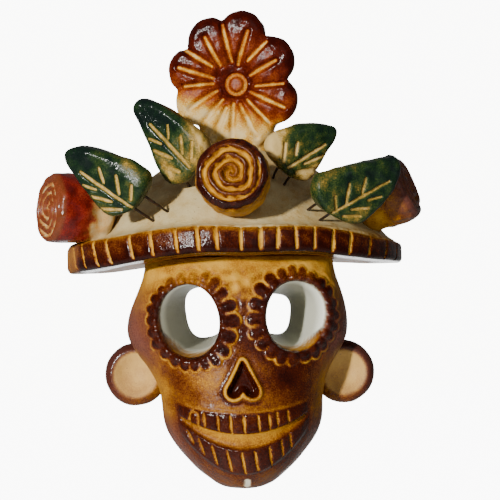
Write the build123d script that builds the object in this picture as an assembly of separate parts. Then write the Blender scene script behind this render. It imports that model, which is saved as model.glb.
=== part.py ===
from build123d import *
from math import atan2, cos, degrees, hypot, pi, radians, sin, sqrt
import os

# A wall mask of slip-cast, glazed clay: a calavera (sugar-skull) face under a broad flowered hat.
#
# Frame, in millimetres: the origin is the centre of the nail hole, on the flat back that lies on the wall.
# +Z is up, +Y goes into the wall, and the face looks along -Y.
#
# How it is built: the skull is a hollow casting, poured through its open top, with two eye tunnels that run
# from the face through to the flat back. The hat is a notched brim slab luted over that opening, with a hollow
# crown luted on the brim. Ears, roses and the big flower are pressed on wet and luted. Short wire pins hold the
# roses and the flower as well. The four leaves stand clear of the crown, each on two bent iron wires.

# ---- Skull casting ----
SKULL_TOP = 8.0  # the pour opening's rim at the middle, which the brim sits on
WALL = 5.0  # thickness of the cast wall
POUR_LIP = 10.0  # how far the rim of the pour opening reaches inward
CAVITY_FLOOR = -90.0

# Level sections from the top down: height, half width at the side, half width and depth of the front corner,
# depth at the middle, half width at the back.
SKULL_SECTIONS = [
    (SKULL_TOP + 1.0, 45.0, 33.0, 41.0, 50.0, 42.0),
    (-6.0, 48.5, 38.0, 43.0, 54.0, 45.0),
    (-20.0, 52.3, 42.5, 44.0, 57.0, 48.0),
    (-32.0, 50.8, 41.0, 45.0, 58.0, 46.0),
    (-44.0, 43.0, 35.5, 47.0, 59.5, 39.0),
    (-56.0, 38.5, 31.5, 48.5, 60.0, 35.0),
    (-68.0, 37.0, 29.5, 48.0, 59.5, 33.5),
    (-78.0, 31.5, 25.5, 47.0, 58.0, 28.0),
    (-87.0, 24.5, 19.5, 44.0, 54.0, 21.0),
    (-94.0, 16.0, 12.0, 39.0, 46.5, 12.5),
    (-99.0, 7.0, 5.0, 32.0, 36.0, 5.0),
]
SIDE_DEPTH = 20.0  # where a section is at its widest

EYE_X, EYE_Z = 23.8, -19.3  # centre of the eye's front edge
EYE_FRONT_Y, EYE_R = -56.0, (13.9, 16.0)
HOLE_X, HOLE_Z = 17.5, -17.8  # centre of the tunnel where it leaves the back
HOLE_R = (8.8, 11.8)
EYE_LEAN = 8.0  # degrees that the top of each eye leans outward
PETALS, PETAL_R, PETAL_REACH, PETAL_RISE = 22, 2.5, 5.6, 1.5

NOSE_TOP, NOSE_NOTCH, NOSE_LOW = -39.5, -51.3, -53.8
NOSE_LOBE, NOSE_LOBE_Z = 7.0, -50.6  # half width of the heart and where it is widest
NOSE_RIM, NOSE_DEPTH = 2.0, 4.0
MOUTH_X, MOUTH_END_Z, MOUTH_TOP, MOUTH_BOTTOM = 28.5, -62.5, -69.5, -76.4
MOUTH_DEPTH = 2.5
TOOTH_PITCH, TOOTH_LINE, TOOTH_CUT = 5.6, 1.2, 1.0
NAIL_R = 3.5

# ---- Ears ----
EAR_X, EAR_Z, EAR_R = 49.6, -46.8, 15.2
EAR_BACK, EAR_FRONT = -7.0, -20.0
DISH_R, DISH_DEPTH = 9.6, 3.5

# ---- Hat ----
BRIM_R, BRIM_AXIS_Y = 86.6, 11.6  # its plan is part of a circle, centred behind the wall's face
BRIM_THICK, BRIM_EDGE = 12.0, 2.5
BRIM_DROOP = 4.6  # how much lower the two ends hang than the middle
NOTCH_PITCH, NOTCH_W, NOTCH_CUT = 9.4, 1.5, 1.1
CROWN_R, CROWN_AXIS_Y, CROWN_H = 76.0, 8.0, 50.0
CROWN_FLOOR = 19.0  # the dome starts just under the brim's top
CROWN_WALL = 5.5

# ---- Wires ----
WIRE_R = 0.6
HOLE_EASE = 0.05  # radial room round a wire in its hole
BURIED = 8.0  # length of wire inside a leaf, rose or flower

# ---- Leaves: where the wires leave the crown, the base and the tip of the blade, and which side ----
LEAF_THICK = 9.0
VEIN_W, VEIN_CUT = 1.5, 1.0
LEAF_ROLL = 26.0  # degrees that the upper edge leans forward
WIRE_HALF_GAP = 3.8
# Each outline goes from the base's upper corner round the tip to its lower corner, and each vein is a stroke,
# all as millimetres along the blade and across it.
LEAVES = {
    "leaf_lower_left": dict(
        side=-1,
        root=(-36.0, -54.0, 27.5),
        base=(-43.8, -63.0, 32.5),
        tip=(-75.5, -60.0, 57.6),
        upper=[(-0.3, 6.0), (1.0, 11.0), (4.5, 13.6), (12.0, 13.2), (24.0, 9.6), (33.0, 6.0), (38.3, 2.4), (40.3, -1.3)],
        lower=[(38.0, -4.0), (33.0, -6.2), (25.2, -8.8), (17.0, -11.6), (11.0, -13.0), (6.5, -11.8), (2.5, -7.5), (0.2, -2.5)],
        midrib=((1.6, -2.5), (28.3, -3.6)),
        veins=[(21.3, 2.6, 16.7, -0.5), (13.8, 4.9, 8.6, -0.5), (5.4, 5.7, 2.6, 0.1),
               (24.3, -7.4, 18.6, -5.8), (17.9, -9.3, 9.6, -5.8), (12.0, -11.0, 3.9, -6.0)],
    ),
    "leaf_upper_left": dict(
        side=-1,
        root=(-19.0, -45.0, 43.0),
        base=(-22.4, -53.0, 47.0),
        tip=(-44.0, -50.0, 80.5),
        upper=[(-2.0, 5.0), (-0.6, 10.0), (2.6, 14.2), (8.0, 15.4), (20.6, 12.0), (31.0, 7.8), (38.3, 2.8), (39.5, -1.0)],
        lower=[(37.2, -4.0), (31.0, -5.4), (23.0, -6.4), (15.0, -7.6), (8.0, -8.3), (3.0, -6.6), (-1.2, -2.5)],
        midrib=((1.5, 3.2), (26.3, -0.6)),
        veins=[(20.0, 6.4, 16.0, 2.6), (13.0, 9.0, 8.0, 4.0), (21.5, -4.6, 17.0, -1.6), (14.5, -6.2, 9.0, -1.4)],
    ),
    "leaf_upper_right": dict(
        side=1,
        root=(18.5, -45.0, 43.0),
        base=(21.0, -53.0, 47.0),
        tip=(44.2, -50.0, 66.5),
        upper=[(-1.4, 6.0), (-1.6, 12.0), (1.0, 15.6), (5.0, 16.4), (16.7, 12.0), (25.5, 6.0), (29.6, 0.4)],
        lower=[(28.0, -3.0), (22.0, -5.6), (15.0, -8.2), (9.0, -10.0), (4.0, -9.0), (-0.4, -2.0)],
        midrib=((1.5, 0.9), (20.8, -2.1)),
        veins=[(8.0, 10.0, 1.8, 4.6), (13.4, 6.4, 8.4, 1.8), (16.0, -6.6, 10.0, -3.6)],
    ),
    "leaf_lower_right": dict(
        side=1,
        root=(33.7, -56.0, 26.0),
        base=(38.0, -64.5, 28.5),
        tip=(71.0, -60.0, 50.0),
        upper=[(-1.0, 4.2), (-0.3, 9.5), (2.5, 13.6), (7.0, 13.4), (26.3, 6.6), (34.7, 3.2), (38.4, 1.5), (39.2, -2.6)],
        lower=[(32.3, -7.8), (20.2, -11.0), (12.3, -12.1), (7.9, -10.8), (3.8, -6.6), (0.2, -1.0)],
        midrib=((0.7, -2.5), (29.7, -5.3)),
        veins=[(4.2, 3.2, 2.6, -2.1), (12.8, 3.9, 8.1, -2.0), (20.6, 2.0, 16.7, -2.4),
               (22.9, -8.6, 17.5, -7.2), (15.5, -9.4, 8.7, -6.2), (10.3, -10.4, 4.3, -7.0)],
    ),
}

# ---- Roses: middle of the carved face, direction that it looks, radius of the face ----
# Each has a pinched neck behind the bud, trimmed where it meets the hat.
ROSES = {
    "rose_center": dict(face=(-2.8, -84.0, 41.4), looks=(-0.10, -1.0, 0.10), radius=15.6, length=30.0, neck=1.0),
    "rose_left": dict(face=(-87.6, -38.0, 35.0), looks=(-0.92, -0.38, 0.06), radius=16.0, length=24.0, neck=13.0),
    "rose_right": dict(face=(81.6, -38.0, 39.6), looks=(0.92, -0.34, 0.16), radius=16.0, length=24.0, neck=13.0),
}

# ---- Big flower on top of the crown ----
FLOWER_C = (0.8, -20.0, 95.2)
FLOWER_R, FLOWER_THICK, FLOWER_PETALS = 32.8, 11.0, 8
FLOWER_TURN = 12.0  # degrees that its face turns towards -X
FLOWER_FIRST_PETAL = 30.0  # degrees
PETAL_SHARE = 0.34  # a petal's radius over the flower's


def unit(v):
    return Vector(*v).normalized()


def solid_of(shape):
    """The one solid of a boolean's result, or the largest where a sliver came off."""
    return max(shape.solids(), key=lambda s: s.volume)


def skull_section(row, inset, floor_gap):
    z, side, corner, corner_depth, depth, back = row
    corner_in = max(corner - 0.8 * inset, 1.0)
    points = [
        (-max(back - inset, 1.2), -floor_gap, z),
        (-max(side - inset, 1.6), -min(SIDE_DEPTH, 0.55 * depth), z),
        (-corner_in, -(corner_depth - 0.7 * inset), z),
        (0, -(depth - inset), z),
        (corner_in, -(corner_depth - 0.7 * inset), z),
        (max(side - inset, 1.6), -min(SIDE_DEPTH, 0.55 * depth), z),
        (max(back - inset, 1.2), -floor_gap, z),
    ]
    return Wire([Spline(*points), Line(points[-1], points[0])])


def skull_form(inset=0.0):
    """The outside of the skull, moved inward by inset, or outward where it is negative."""
    rows = SKULL_SECTIONS
    return Solid.make_loft([skull_section(r, inset, 0.0) for r in rows])


def cavity_form():
    rows = [r for r in SKULL_SECTIONS if CAVITY_FLOOR < r[0] < SKULL_TOP]
    top, last = SKULL_SECTIONS[0], SKULL_SECTIONS[-3]
    wires = [skull_section((SKULL_TOP + 2.0, *top[1:]), POUR_LIP, POUR_LIP)]
    wires += [skull_section(r, WALL, WALL) for r in rows]
    wires.append(skull_section((CAVITY_FLOOR, *last[1:]), WALL + 2.5, WALL))
    return Solid.make_loft(wires)


def ellipse_at(x, y, z, radii, lean):
    """An ellipse in the plane Y = y, its top leaning by lean degrees towards +X."""
    plane = Plane(origin=(x, y, z), x_dir=(cos(radians(lean)), 0, -sin(radians(lean))), z_dir=(0, -1, 0))
    return (plane * Ellipse(*radii)).wire()


def eye_tunnel(side, grow=0.0):
    """The tapered tunnel from in front of the face to behind the flat back."""
    ends = []
    for y in (-66.0, 3.0):
        t = (y - EYE_FRONT_Y) / (0.0 - EYE_FRONT_Y)
        x = EYE_X + (HOLE_X - EYE_X) * t
        z = EYE_Z + (HOLE_Z - EYE_Z) * t
        radii = [f + (b - f) * t + grow for f, b in zip(EYE_R, HOLE_R)]
        ends.append(ellipse_at(side * x, y, z, radii, side * EYE_LEAN))
    return Solid.make_loft(ends)


def petal_posts(side):
    """Round posts along Y, one under each petal of an eye's scalloped rim."""
    posts = []
    for k in range(PETALS):
        a = 2 * pi * (k + 0.5) / PETALS
        x = side * EYE_X + (EYE_R[0] + PETAL_REACH) * cos(a)
        z = EYE_Z + (EYE_R[1] + PETAL_REACH) * sin(a)
        post = Cylinder(PETAL_R, 50, rotation=(90, 0, 0))
        posts.append(Pos(x, -50, z) * post)
    return posts


def heart(grow, depth):
    """The upside-down heart of the nose as a prism along Y."""
    top, lobe = NOSE_TOP + 2.0 * grow, NOSE_LOBE + grow
    low = NOSE_LOW - grow
    right = [
        Line((0, top), (lobe, NOSE_LOBE_Z)),
        ThreePointArc((lobe, NOSE_LOBE_Z), (0.55 * lobe, low), (0, NOSE_NOTCH - grow)),
    ]
    left = [edge.mirror(Plane.YZ) for edge in right]
    face = make_face(Wire([*right, *left]))
    plane = Plane(origin=(0, -30, 0), x_dir=(1, 0, 0), z_dir=(0, -1, 0))
    return extrude(plane * face, depth)


def mouth_prism():
    upper = ThreePointArc((-MOUTH_X, MOUTH_END_Z), (0, MOUTH_TOP), (MOUTH_X, MOUTH_END_Z))
    lower = ThreePointArc((MOUTH_X, MOUTH_END_Z), (0, MOUTH_BOTTOM), (-MOUTH_X, MOUTH_END_Z))
    plane = Plane(origin=(0, -30, 0), x_dir=(1, 0, 0), z_dir=(0, -1, 0))
    return extrude(plane * make_face(Wire([upper, lower])), 40)


def tooth_lines():
    """Thin walls along Y, one for each carved line between two teeth."""
    lines = []
    for row_z, sag, height, last in ((-63.8, -4.6, 9.0, 4), (-80.6, -9.0, 10.5, 4)):
        for k in range(-last, last + 1):
            x = TOOTH_PITCH * k
            z = row_z - sag * (x / MOUTH_X) ** 2
            lines.append(Pos(x, -50, z) * Box(TOOTH_LINE, 40, height - 0.7 * abs(k)))
    return lines


def make_skull(brim):
    """The casting, its open top trimmed to the underside of the brim."""
    outer = skull_form()
    raised = skull_form(-PETAL_RISE)
    posts = petal_posts(-1) + petal_posts(1) + [heart(NOSE_RIM, 40)]
    relief = [solid_of(post & raised) for post in posts]
    body = solid_of(outer.fuse(*relief))
    linings = [solid_of(eye_tunnel(s, WALL) & outer) for s in (-1, 1)]
    body = solid_of(body.cut(cavity_form()))
    body = solid_of(body.fuse(*linings))
    nose = solid_of(heart(0.0, 40) - skull_form(NOSE_DEPTH))
    mouth = solid_of(mouth_prism() - skull_form(MOUTH_DEPTH))
    inner = skull_form(TOOTH_CUT)
    lines = [solid_of(line - inner) for line in tooth_lines()]
    nail = Pos(0, -3, 0) * Cylinder(NAIL_R, 16, rotation=(90, 0, 0))
    cuts = [brim, eye_tunnel(-1), eye_tunnel(1), nose, mouth, nail, *lines]
    return solid_of(body.cut(*cuts))


def make_ear(side, skull):
    profile = Polyline(
        (0, EAR_BACK), (EAR_R - 2.0, EAR_BACK), (EAR_R, EAR_BACK - 3.0), (EAR_R, EAR_FRONT + 3.5),
        (EAR_R - 3.0, EAR_FRONT), (DISH_R, EAR_FRONT), (DISH_R - 4.0, EAR_FRONT + DISH_DEPTH),
        (0, EAR_FRONT + DISH_DEPTH), (0, EAR_BACK),
    )
    disc = revolve(Plane.XY * make_face(profile), Axis.Y)
    return solid_of(Pos(side * EAR_X, 0, EAR_Z) * disc - skull)


def front_half(shape, back=0.0):
    """The part of a shape in front of the plane Y = back."""
    return solid_of(shape & (Pos(0, back - 100, 20) * Box(400, 200, 300)))


def brim_slab():
    """A round slab with softened edges whose two ends droop, cut off flat at the wall."""
    far = BRIM_R + 4.0
    low, top = SKULL_TOP, SKULL_TOP + BRIM_THICK
    drop = BRIM_DROOP * (far / BRIM_R) ** 2
    side = [
        ThreePointArc((-far, low - drop), (0, low), (far, low - drop)),
        Line((far, low - drop), (far, top - drop)),
        ThreePointArc((far, top - drop), (0, top), (-far, top - drop)),
        Line((-far, top - drop), (-far, low - drop)),
    ]
    plane = Plane(origin=(0, 100, 0), x_dir=(1, 0, 0), z_dir=(0, -1, 0))
    slab = extrude(plane * make_face(Wire(side)), 200)
    disc = Pos(0, BRIM_AXIS_Y, 13) * Cylinder(BRIM_R, 60)
    whole = solid_of(slab & disc)
    rims = [e for e in whole.edges() if e.bounding_box().size.X > BRIM_R]
    return front_half(whole.fillet(BRIM_EDGE, rims))


def brim_notches():
    """The carved lines round the brim's edge, at an even pitch either side of the middle."""
    step = degrees(NOTCH_PITCH / BRIM_R)
    last = int(85 / step)
    cuts = []
    for k in range(-last, last + 1):
        angle = radians(-90 + step * k)
        x, y = BRIM_R * cos(angle), BRIM_AXIS_Y + BRIM_R * sin(angle)
        z = SKULL_TOP + BRIM_THICK / 2 - BRIM_DROOP * (x / BRIM_R) ** 2
        box = Box(2 * NOTCH_CUT, NOTCH_W, BRIM_THICK - 2 * BRIM_EDGE - 0.4)
        cuts.append(Pos(x, y, z) * Rot(0, 0, degrees(angle)) * box)
    return cuts


def make_brim():
    return solid_of(brim_slab().cut(*brim_notches()))


def crown_form(wall=0.0):
    """A paraboloid dome on the brim, cut off flat at the wall."""
    r, height = CROWN_R - wall, CROWN_H - wall
    steps = 8
    points = [(r * sqrt(1 - k / steps), CROWN_FLOOR + height * k / steps) for k in range(steps + 1)]
    foot = CROWN_FLOOR - 6.0
    profile = [
        Spline(*points),
        Line(points[-1], (0, foot)),
        Line((0, foot), (r, foot)),
        Line((r, foot), points[0]),
    ]
    dome = revolve(Plane.XZ * make_face(Wire(profile)), Axis.Z)
    return front_half(Pos(0, CROWN_AXIS_Y, 0) * dome, -wall)


def leaf_frame(spec):
    """Base, and unit vectors along the blade, towards its upper edge and out of its carved face."""
    base = Vector(*spec["base"])
    along = (Vector(*spec["tip"]) - base).normalized()
    front = Vector(0, -1, 0)
    front = (front - along * front.dot(along)).normalized()
    up = front.cross(along) * spec["side"]
    roll = radians(LEAF_ROLL)
    upper = up * cos(roll) + front * sin(roll)
    out = front * cos(roll) - up * sin(roll)
    return base, along, upper, out


def leaf_length(spec):
    return (Vector(*spec["tip"]) - Vector(*spec["base"])).length


def leaf_wire_paths(spec):
    """Centre lines of a leaf's two wires, from inside the crown to inside the blade."""
    base, along, upper, out = leaf_frame(spec)
    root = Vector(*spec["root"])
    knee = base - along * 3.0
    inward = (root - knee).normalized()
    paths = []
    for s in (-1, 1):
        shift = upper * (s * WIRE_HALF_GAP)
        start = root + inward * (CROWN_WALL + 1.5) + shift
        paths.append(FilletPolyline(start, knee + shift, base + along * BURIED + shift, radius=2.5))
    return paths


def tube(path, radius):
    """A round rod along a path."""
    disc = Plane(origin=path @ 0, z_dir=path % 0) * Circle(radius)
    return sweep(disc, path=path)


def make_wires(spec):
    return Compound([solid_of(tube(p, WIRE_R)) for p in leaf_wire_paths(spec)])


def wire_holes(spec):
    return [solid_of(tube(p, WIRE_R + HOLE_EASE)) for p in leaf_wire_paths(spec)]


def leaf_outline(spec, share, z):
    """The blade's outline at height z in its thickness, drawn in to a share of its full size."""
    middle = 0.45 * leaf_length(spec)
    points = spec["upper"] + spec["lower"]
    placed = [(middle + share * (along - middle), spec["side"] * share * across, z) for along, across in points]
    return Wire([Spline(*placed), Line(placed[-1], placed[0])])


def leaf_veins(spec):
    """Carved strokes of the face: a midrib near the lower edge, and side veins that lean towards the tip."""
    (s0, t0), (s1, t1) = spec["midrib"]
    boxes = []
    for x0, y0, x1, y1 in [(s0, t0, s1, t1)] + spec["veins"]:
        y0, y1 = spec["side"] * y0, spec["side"] * y1
        turn = degrees(atan2(y1 - y0, x1 - x0))
        box = Box(hypot(x1 - x0, y1 - y0), VEIN_W, 2.0 * VEIN_CUT)
        boxes.append(Pos((x0 + x1) / 2, (y0 + y1) / 2, LEAF_THICK / 2) * Rot(0, 0, turn) * box)
    return boxes


def make_leaf(spec):
    base, along, upper, out = leaf_frame(spec)
    half = LEAF_THICK / 2
    layers = [(0.86, -half), (0.95, -half + 1.3), (1.0, -0.8), (1.0, 0.8), (0.95, half - 1.3), (0.86, half)]
    outlines = [leaf_outline(spec, share, z) for share, z in layers]
    blade = Solid.make_loft(outlines, ruled=True)
    blade = solid_of(blade.cut(*leaf_veins(spec)))
    placed = Plane(origin=base, x_dir=along, z_dir=out) * blade
    return solid_of(placed.cut(*wire_holes(spec)))


def rose_plane(spec):
    """Origin in the carved face, Z out of it."""
    looks = unit(spec["looks"])
    level = Vector(0, 0, 1).cross(looks).normalized()
    return Plane(origin=spec["face"], x_dir=level, z_dir=looks)


def make_rose(spec, seats):
    """A squat bud with rings carved in its face, pressed on the hat."""
    r, length = spec["radius"], spec["length"]
    end = length + spec["neck"]
    ring = 1.0
    profile = [(0, -end), (0.42 * r, -end), (0.48 * r, -length)]
    profile += [(0.66 * r, -length + 0.8), (0.95 * r, -0.72 * length), (1.09 * r, -0.45 * length)]
    profile += [(1.08 * r, -0.18 * length), (1.0 * r, -1.2), (0.93 * r, 0)]
    for share in (0.74, 0.46):
        mid = share * r
        profile += [(mid + ring, 0), (mid, -ring * 1.3), (mid - ring, 0)]
    profile += [(0.16 * r, 0), (0, -1.0), (0, -end)]
    bud = revolve(make_face(Plane.XZ * Polyline(*profile)), Axis.Z)
    placed = rose_plane(spec) * solid_of(bud)
    return solid_of(solid_of(placed).cut(*seats))


def rose_pins(spec):
    """Two straight pins from inside the bud through the crown's wall."""
    plane = rose_plane(spec)
    pins = []
    for s in (-1, 1):
        start = plane.from_local_coords((s * 3.5, 0, -0.45 * spec["length"]))
        end = plane.from_local_coords((s * 3.5, 0, -spec["length"] - spec["neck"] - 8.0))
        pins.append((start, end))
    return pins


def flower_pins():
    """Two upright pins from inside the flower through the top of the crown."""
    x, y, z = FLOWER_C
    return [((x + s * 5.0, y, z - FLOWER_R + 9.0), (x + s * 5.0, y, z - FLOWER_R - 10.0)) for s in (-1, 1)]


def rod(start, end, radius):
    start, end = Vector(*start), Vector(*end)
    disc = Plane(origin=start, z_dir=(end - start).normalized()) * Circle(radius)
    return extrude(disc, (end - start).length)


def make_pins(pins):
    return Compound([solid_of(rod(a, b, WIRE_R)) for a, b in pins])


def pin_holes(pins):
    return [solid_of(rod(a, b, WIRE_R + HOLE_EASE)) for a, b in pins]


def flower_petal():
    """One petal as a disc with a rounded front edge, its face towards +Z."""
    r, half = PETAL_SHARE * FLOWER_R, FLOWER_THICK / 2
    corners = [(r - 3, half), (0, half), (0, -half), (r - 1.5, -half), (r, 1.5 - half), (r, half - 3)]
    round_front = ThreePointArc(corners[-1], (r - 0.88, half - 0.88), corners[0])
    profile = Wire([*Polyline(*corners).edges(), round_front])
    return revolve(Plane.XZ * make_face(profile), Axis.Z)


def make_flower(seats):
    reach = (1 - PETAL_SHARE) * FLOWER_R
    spread = 360 / FLOWER_PETALS
    petals = []
    for k in range(FLOWER_PETALS):
        petals.append(Rot(0, 0, FLOWER_FIRST_PETAL + spread * k) * Pos(reach, 0, 0) * flower_petal())
    bloom = solid_of(Cylinder(0.72 * FLOWER_R, FLOWER_THICK).fuse(*petals))
    strokes = []
    for k in range(2 * FLOWER_PETALS):
        turn = Rot(0, 0, FLOWER_FIRST_PETAL + spread / 2 * k)
        strokes.append(turn * Pos(0.56 * FLOWER_R, 0, FLOWER_THICK / 2) * Box(0.50 * FLOWER_R, 1.5, 2.2))
    heart_ring = Pos(0, 0, FLOWER_THICK / 2) * Torus(3.8, 0.9)
    bloom = solid_of(bloom.cut(*strokes, heart_ring))
    turn = radians(FLOWER_TURN)
    plane = Plane(origin=FLOWER_C, x_dir=(cos(turn), -sin(turn), 0), z_dir=(-sin(turn), -cos(turn), 0))
    return solid_of(solid_of(plane * bloom).cut(*seats))


def build():
    """Every piece by its node name."""
    parts = {}
    slab = brim_slab()
    outside = skull_form()
    parts["skull"] = make_skull(slab)
    for name, side in (("ear_left", -1), ("ear_right", 1)):
        parts[name] = make_ear(side, outside)
    brim = make_brim()
    crown_outside = crown_form()
    pins = {name: rose_pins(spec) for name, spec in ROSES.items()}
    pins["flower"] = flower_pins()
    drilled = [hole for group in pins.values() for hole in pin_holes(group)]
    wires_drilled = [hole for spec in LEAVES.values() for hole in wire_holes(spec)]
    crown = crown_outside.cut(crown_form(CROWN_WALL), slab)
    parts["hat_crown"] = solid_of(solid_of(crown).cut(*drilled, *wires_drilled))
    parts["hat_brim"] = solid_of(brim.cut(*drilled))
    for name, spec in ROSES.items():
        bud = make_rose(spec, [crown_outside, slab])
        parts[name] = solid_of(bud.cut(*pin_holes(pins[name])))
        parts[name + "_pins"] = make_pins(pins[name])
    bloom = make_flower([crown_outside])
    parts["flower"] = solid_of(bloom.cut(*pin_holes(pins["flower"])))
    parts["flower_pins"] = make_pins(pins["flower"])
    for name, spec in LEAVES.items():
        parts[name] = make_leaf(spec)
        parts[name + "_wires"] = make_wires(spec)
    return parts


if __name__ == "__main__":
    os.makedirs("parts", exist_ok=True)
    for name, shape in build().items():
        export_step(shape, f"parts/{name}.step")
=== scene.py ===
import math

import bpy
import numpy as np
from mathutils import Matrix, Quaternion, Vector


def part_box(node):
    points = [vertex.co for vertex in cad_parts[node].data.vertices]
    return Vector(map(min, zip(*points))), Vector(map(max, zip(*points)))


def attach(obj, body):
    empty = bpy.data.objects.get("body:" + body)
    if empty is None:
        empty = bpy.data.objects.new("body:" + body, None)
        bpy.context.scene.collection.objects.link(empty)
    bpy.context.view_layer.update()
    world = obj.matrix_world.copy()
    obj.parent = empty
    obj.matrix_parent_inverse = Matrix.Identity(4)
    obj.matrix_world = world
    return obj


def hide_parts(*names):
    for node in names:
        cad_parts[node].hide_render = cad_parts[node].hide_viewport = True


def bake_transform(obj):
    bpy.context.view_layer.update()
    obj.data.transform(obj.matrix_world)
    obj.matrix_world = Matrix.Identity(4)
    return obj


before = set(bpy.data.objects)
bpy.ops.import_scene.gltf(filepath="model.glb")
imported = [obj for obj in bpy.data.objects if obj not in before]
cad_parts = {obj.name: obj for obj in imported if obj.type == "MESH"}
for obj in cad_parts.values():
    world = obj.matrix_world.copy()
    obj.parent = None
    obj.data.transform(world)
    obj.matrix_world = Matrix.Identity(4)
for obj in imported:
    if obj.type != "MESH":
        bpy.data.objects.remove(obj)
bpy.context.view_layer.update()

MM = 0.001

# Shapes are distance fields in millimetres, in the frame of the CAD model: +Z up, -Y out of the wall.
# Each field is meshed on a fine grid, and each vertex is painted from its own place.


# ---------------------------------------------------------------- small mathematics


def clip01(v):
    return np.clip(v, 0.0, 1.0)


def ramp(v, low, high):
    """0 at low, 1 at high, smooth between, whichever is larger."""
    t = clip01((v - low) / (high - low))
    return t * t * (3 - 2 * t)


def stripe(v, far, near):
    """1 within near of zero, 0 beyond far, on both sides."""
    return ramp(np.abs(v), far, near)


def mix(a, b, t):
    return a + (b - a) * t


def smax(a, b, k):
    h = clip01(0.5 + 0.5 * (a - b) / k)
    return mix(b, a, h) + k * h * (1 - h)


def smin(a, b, k):
    return -smax(-a, -b, k)


def spot(x, z, cx, cz, rx, rz):
    """A soft round spot, 1 at its middle."""
    return np.exp(-(((x - cx) / rx) ** 2) - ((z - cz) / rz) ** 2)


def swell(t, least, start, span):
    """Width of a carved line along its length t: 1 where it is widest, and least at an end."""
    return least + (1 - least) * np.sin(math.pi * clip01(start + span * t))


def spline(xs, ys):
    """A natural cubic spline through the points, as a function."""
    xs, ys = np.array(xs, float), np.array(ys, float)
    if xs[0] > xs[-1]:
        xs, ys = xs[::-1], ys[::-1]
    n, h = len(xs), np.diff(xs)
    system, right = np.eye(n), np.zeros(n)
    for i in range(1, n - 1):
        system[i, i - 1 : i + 2] = h[i - 1], 2 * (h[i - 1] + h[i]), h[i]
        right[i] = 6 * ((ys[i + 1] - ys[i]) / h[i] - (ys[i] - ys[i - 1]) / h[i - 1])
    m = np.linalg.solve(system, right)

    def value(x):
        x = np.clip(x, xs[0], xs[-1])
        i = np.clip(np.searchsorted(xs, x) - 1, 0, n - 2)
        t = x - xs[i]
        slope = (ys[i + 1] - ys[i]) / h[i] - h[i] * (2 * m[i] + m[i + 1]) / 6
        return ys[i] + t * slope + t * t * m[i] / 2 + t**3 * (m[i + 1] - m[i]) / (6 * h[i])

    return value


def waves(p, size, seed, count=6):
    """A smooth random field of about -1 to 1 whose lumps are about size mm across."""
    rng = np.random.default_rng(seed)
    total = np.zeros(len(p))
    for _ in range(count):
        way = rng.normal(size=3)
        way *= 2 * math.pi / (size * rng.uniform(0.8, 1.6)) / np.linalg.norm(way)
        total += np.sin(p @ way + rng.uniform(0, 6.28))
    return total / math.sqrt(count)


def segment_2d(x, y, a, b):
    """Distance from a segment in the plane, and how far along it, 0 to 1."""
    ax, ay, bx, by = *a, *b
    ux, uy = bx - ax, by - ay
    t = clip01(((x - ax) * ux + (y - ay) * uy) / (ux * ux + uy * uy))
    return np.hypot(x - ax - t * ux, y - ay - t * uy), t


def polygon_2d(x, y, corners):
    """Signed distance to a closed outline in the plane, negative inside."""
    best = np.full(len(x), 1e9)
    inside = np.zeros(len(x), bool)
    for (ax, ay), (bx, by) in zip(corners, np.roll(corners, -1, 0)):
        best = np.minimum(best, segment_2d(x, y, (ax, ay), (bx, by))[0])
        crosses = (ay > y) != (by > y)
        with np.errstate(divide="ignore", invalid="ignore"):
            inside ^= crosses & (x < ax + (y - ay) / (by - ay) * (bx - ax))
    return np.where(inside, -best, best)


def smooth_loop(points, steps=8):
    """A closed Catmull-Rom line through the points."""
    p = np.array(points, float)
    out = []
    for i in range(len(p)):
        a, b, c, d = p[i - 1], p[i], p[(i + 1) % len(p)], p[(i + 2) % len(p)]
        for t in np.arange(steps) / steps:
            bend = (2 * a - 5 * b + 4 * c - d) * t**2 + (3 * b - a - 3 * c + d) * t**3
            out.append(0.5 * (2 * b + (c - a) * t + bend))
    return np.array(out)


def rounded_slab(flat, height, half, radius):
    """A plate whose outline has distance flat, rounded where it meets its faces at +-half."""
    a, b = flat + radius, np.abs(height) - half + radius
    return np.hypot(np.maximum(a, 0), np.maximum(b, 0)) + np.minimum(np.maximum(a, b), 0) - radius


def true_scale(field, p, step=0.4):
    """A field divided by its own slope, so that it reads as millimetres."""
    value = field(p)
    total = 0
    for axis in range(3):
        q = p.copy()
        q[:, axis] += step
        total = total + ((field(q) - value) / step) ** 2
    return value / np.maximum(np.sqrt(total), 0.3)


# ---------------------------------------------------------------- meshing

BLOCK = 8


def fill_grid(field, low, high, cell):
    """The field on a grid. Only blocks near the surface are worked out point by point."""
    low = np.array(low, float)
    blocks = np.ceil((np.array(high) - low) / cell / BLOCK).astype(int)
    index = np.stack(np.meshgrid(*[np.arange(n) for n in blocks], indexing="ij"), -1).reshape(-1, 3)
    middle = low + (index * BLOCK + (BLOCK - 1) / 2) * cell
    rough = field(middle)
    values = np.empty((blocks[0], BLOCK, blocks[1], BLOCK, blocks[2], BLOCK))
    values[index[:, 0], :, index[:, 1], :, index[:, 2], :] = rough[:, None, None, None]
    near = index[np.abs(rough) < cell * BLOCK * 1.5 + 2.0]
    inner = np.stack(np.meshgrid(*[np.arange(BLOCK)] * 3, indexing="ij"), -1).reshape(-1, 3)
    for part in np.array_split(near, max(1, len(near) // 600)):
        points = low + (part[:, None] * BLOCK + inner[None]).reshape(-1, 3) * cell
        found = field(points).reshape(len(part), BLOCK, BLOCK, BLOCK)
        values[part[:, 0], :, part[:, 1], :, part[:, 2], :] = found
    return low, values.reshape(blocks * BLOCK)


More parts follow.
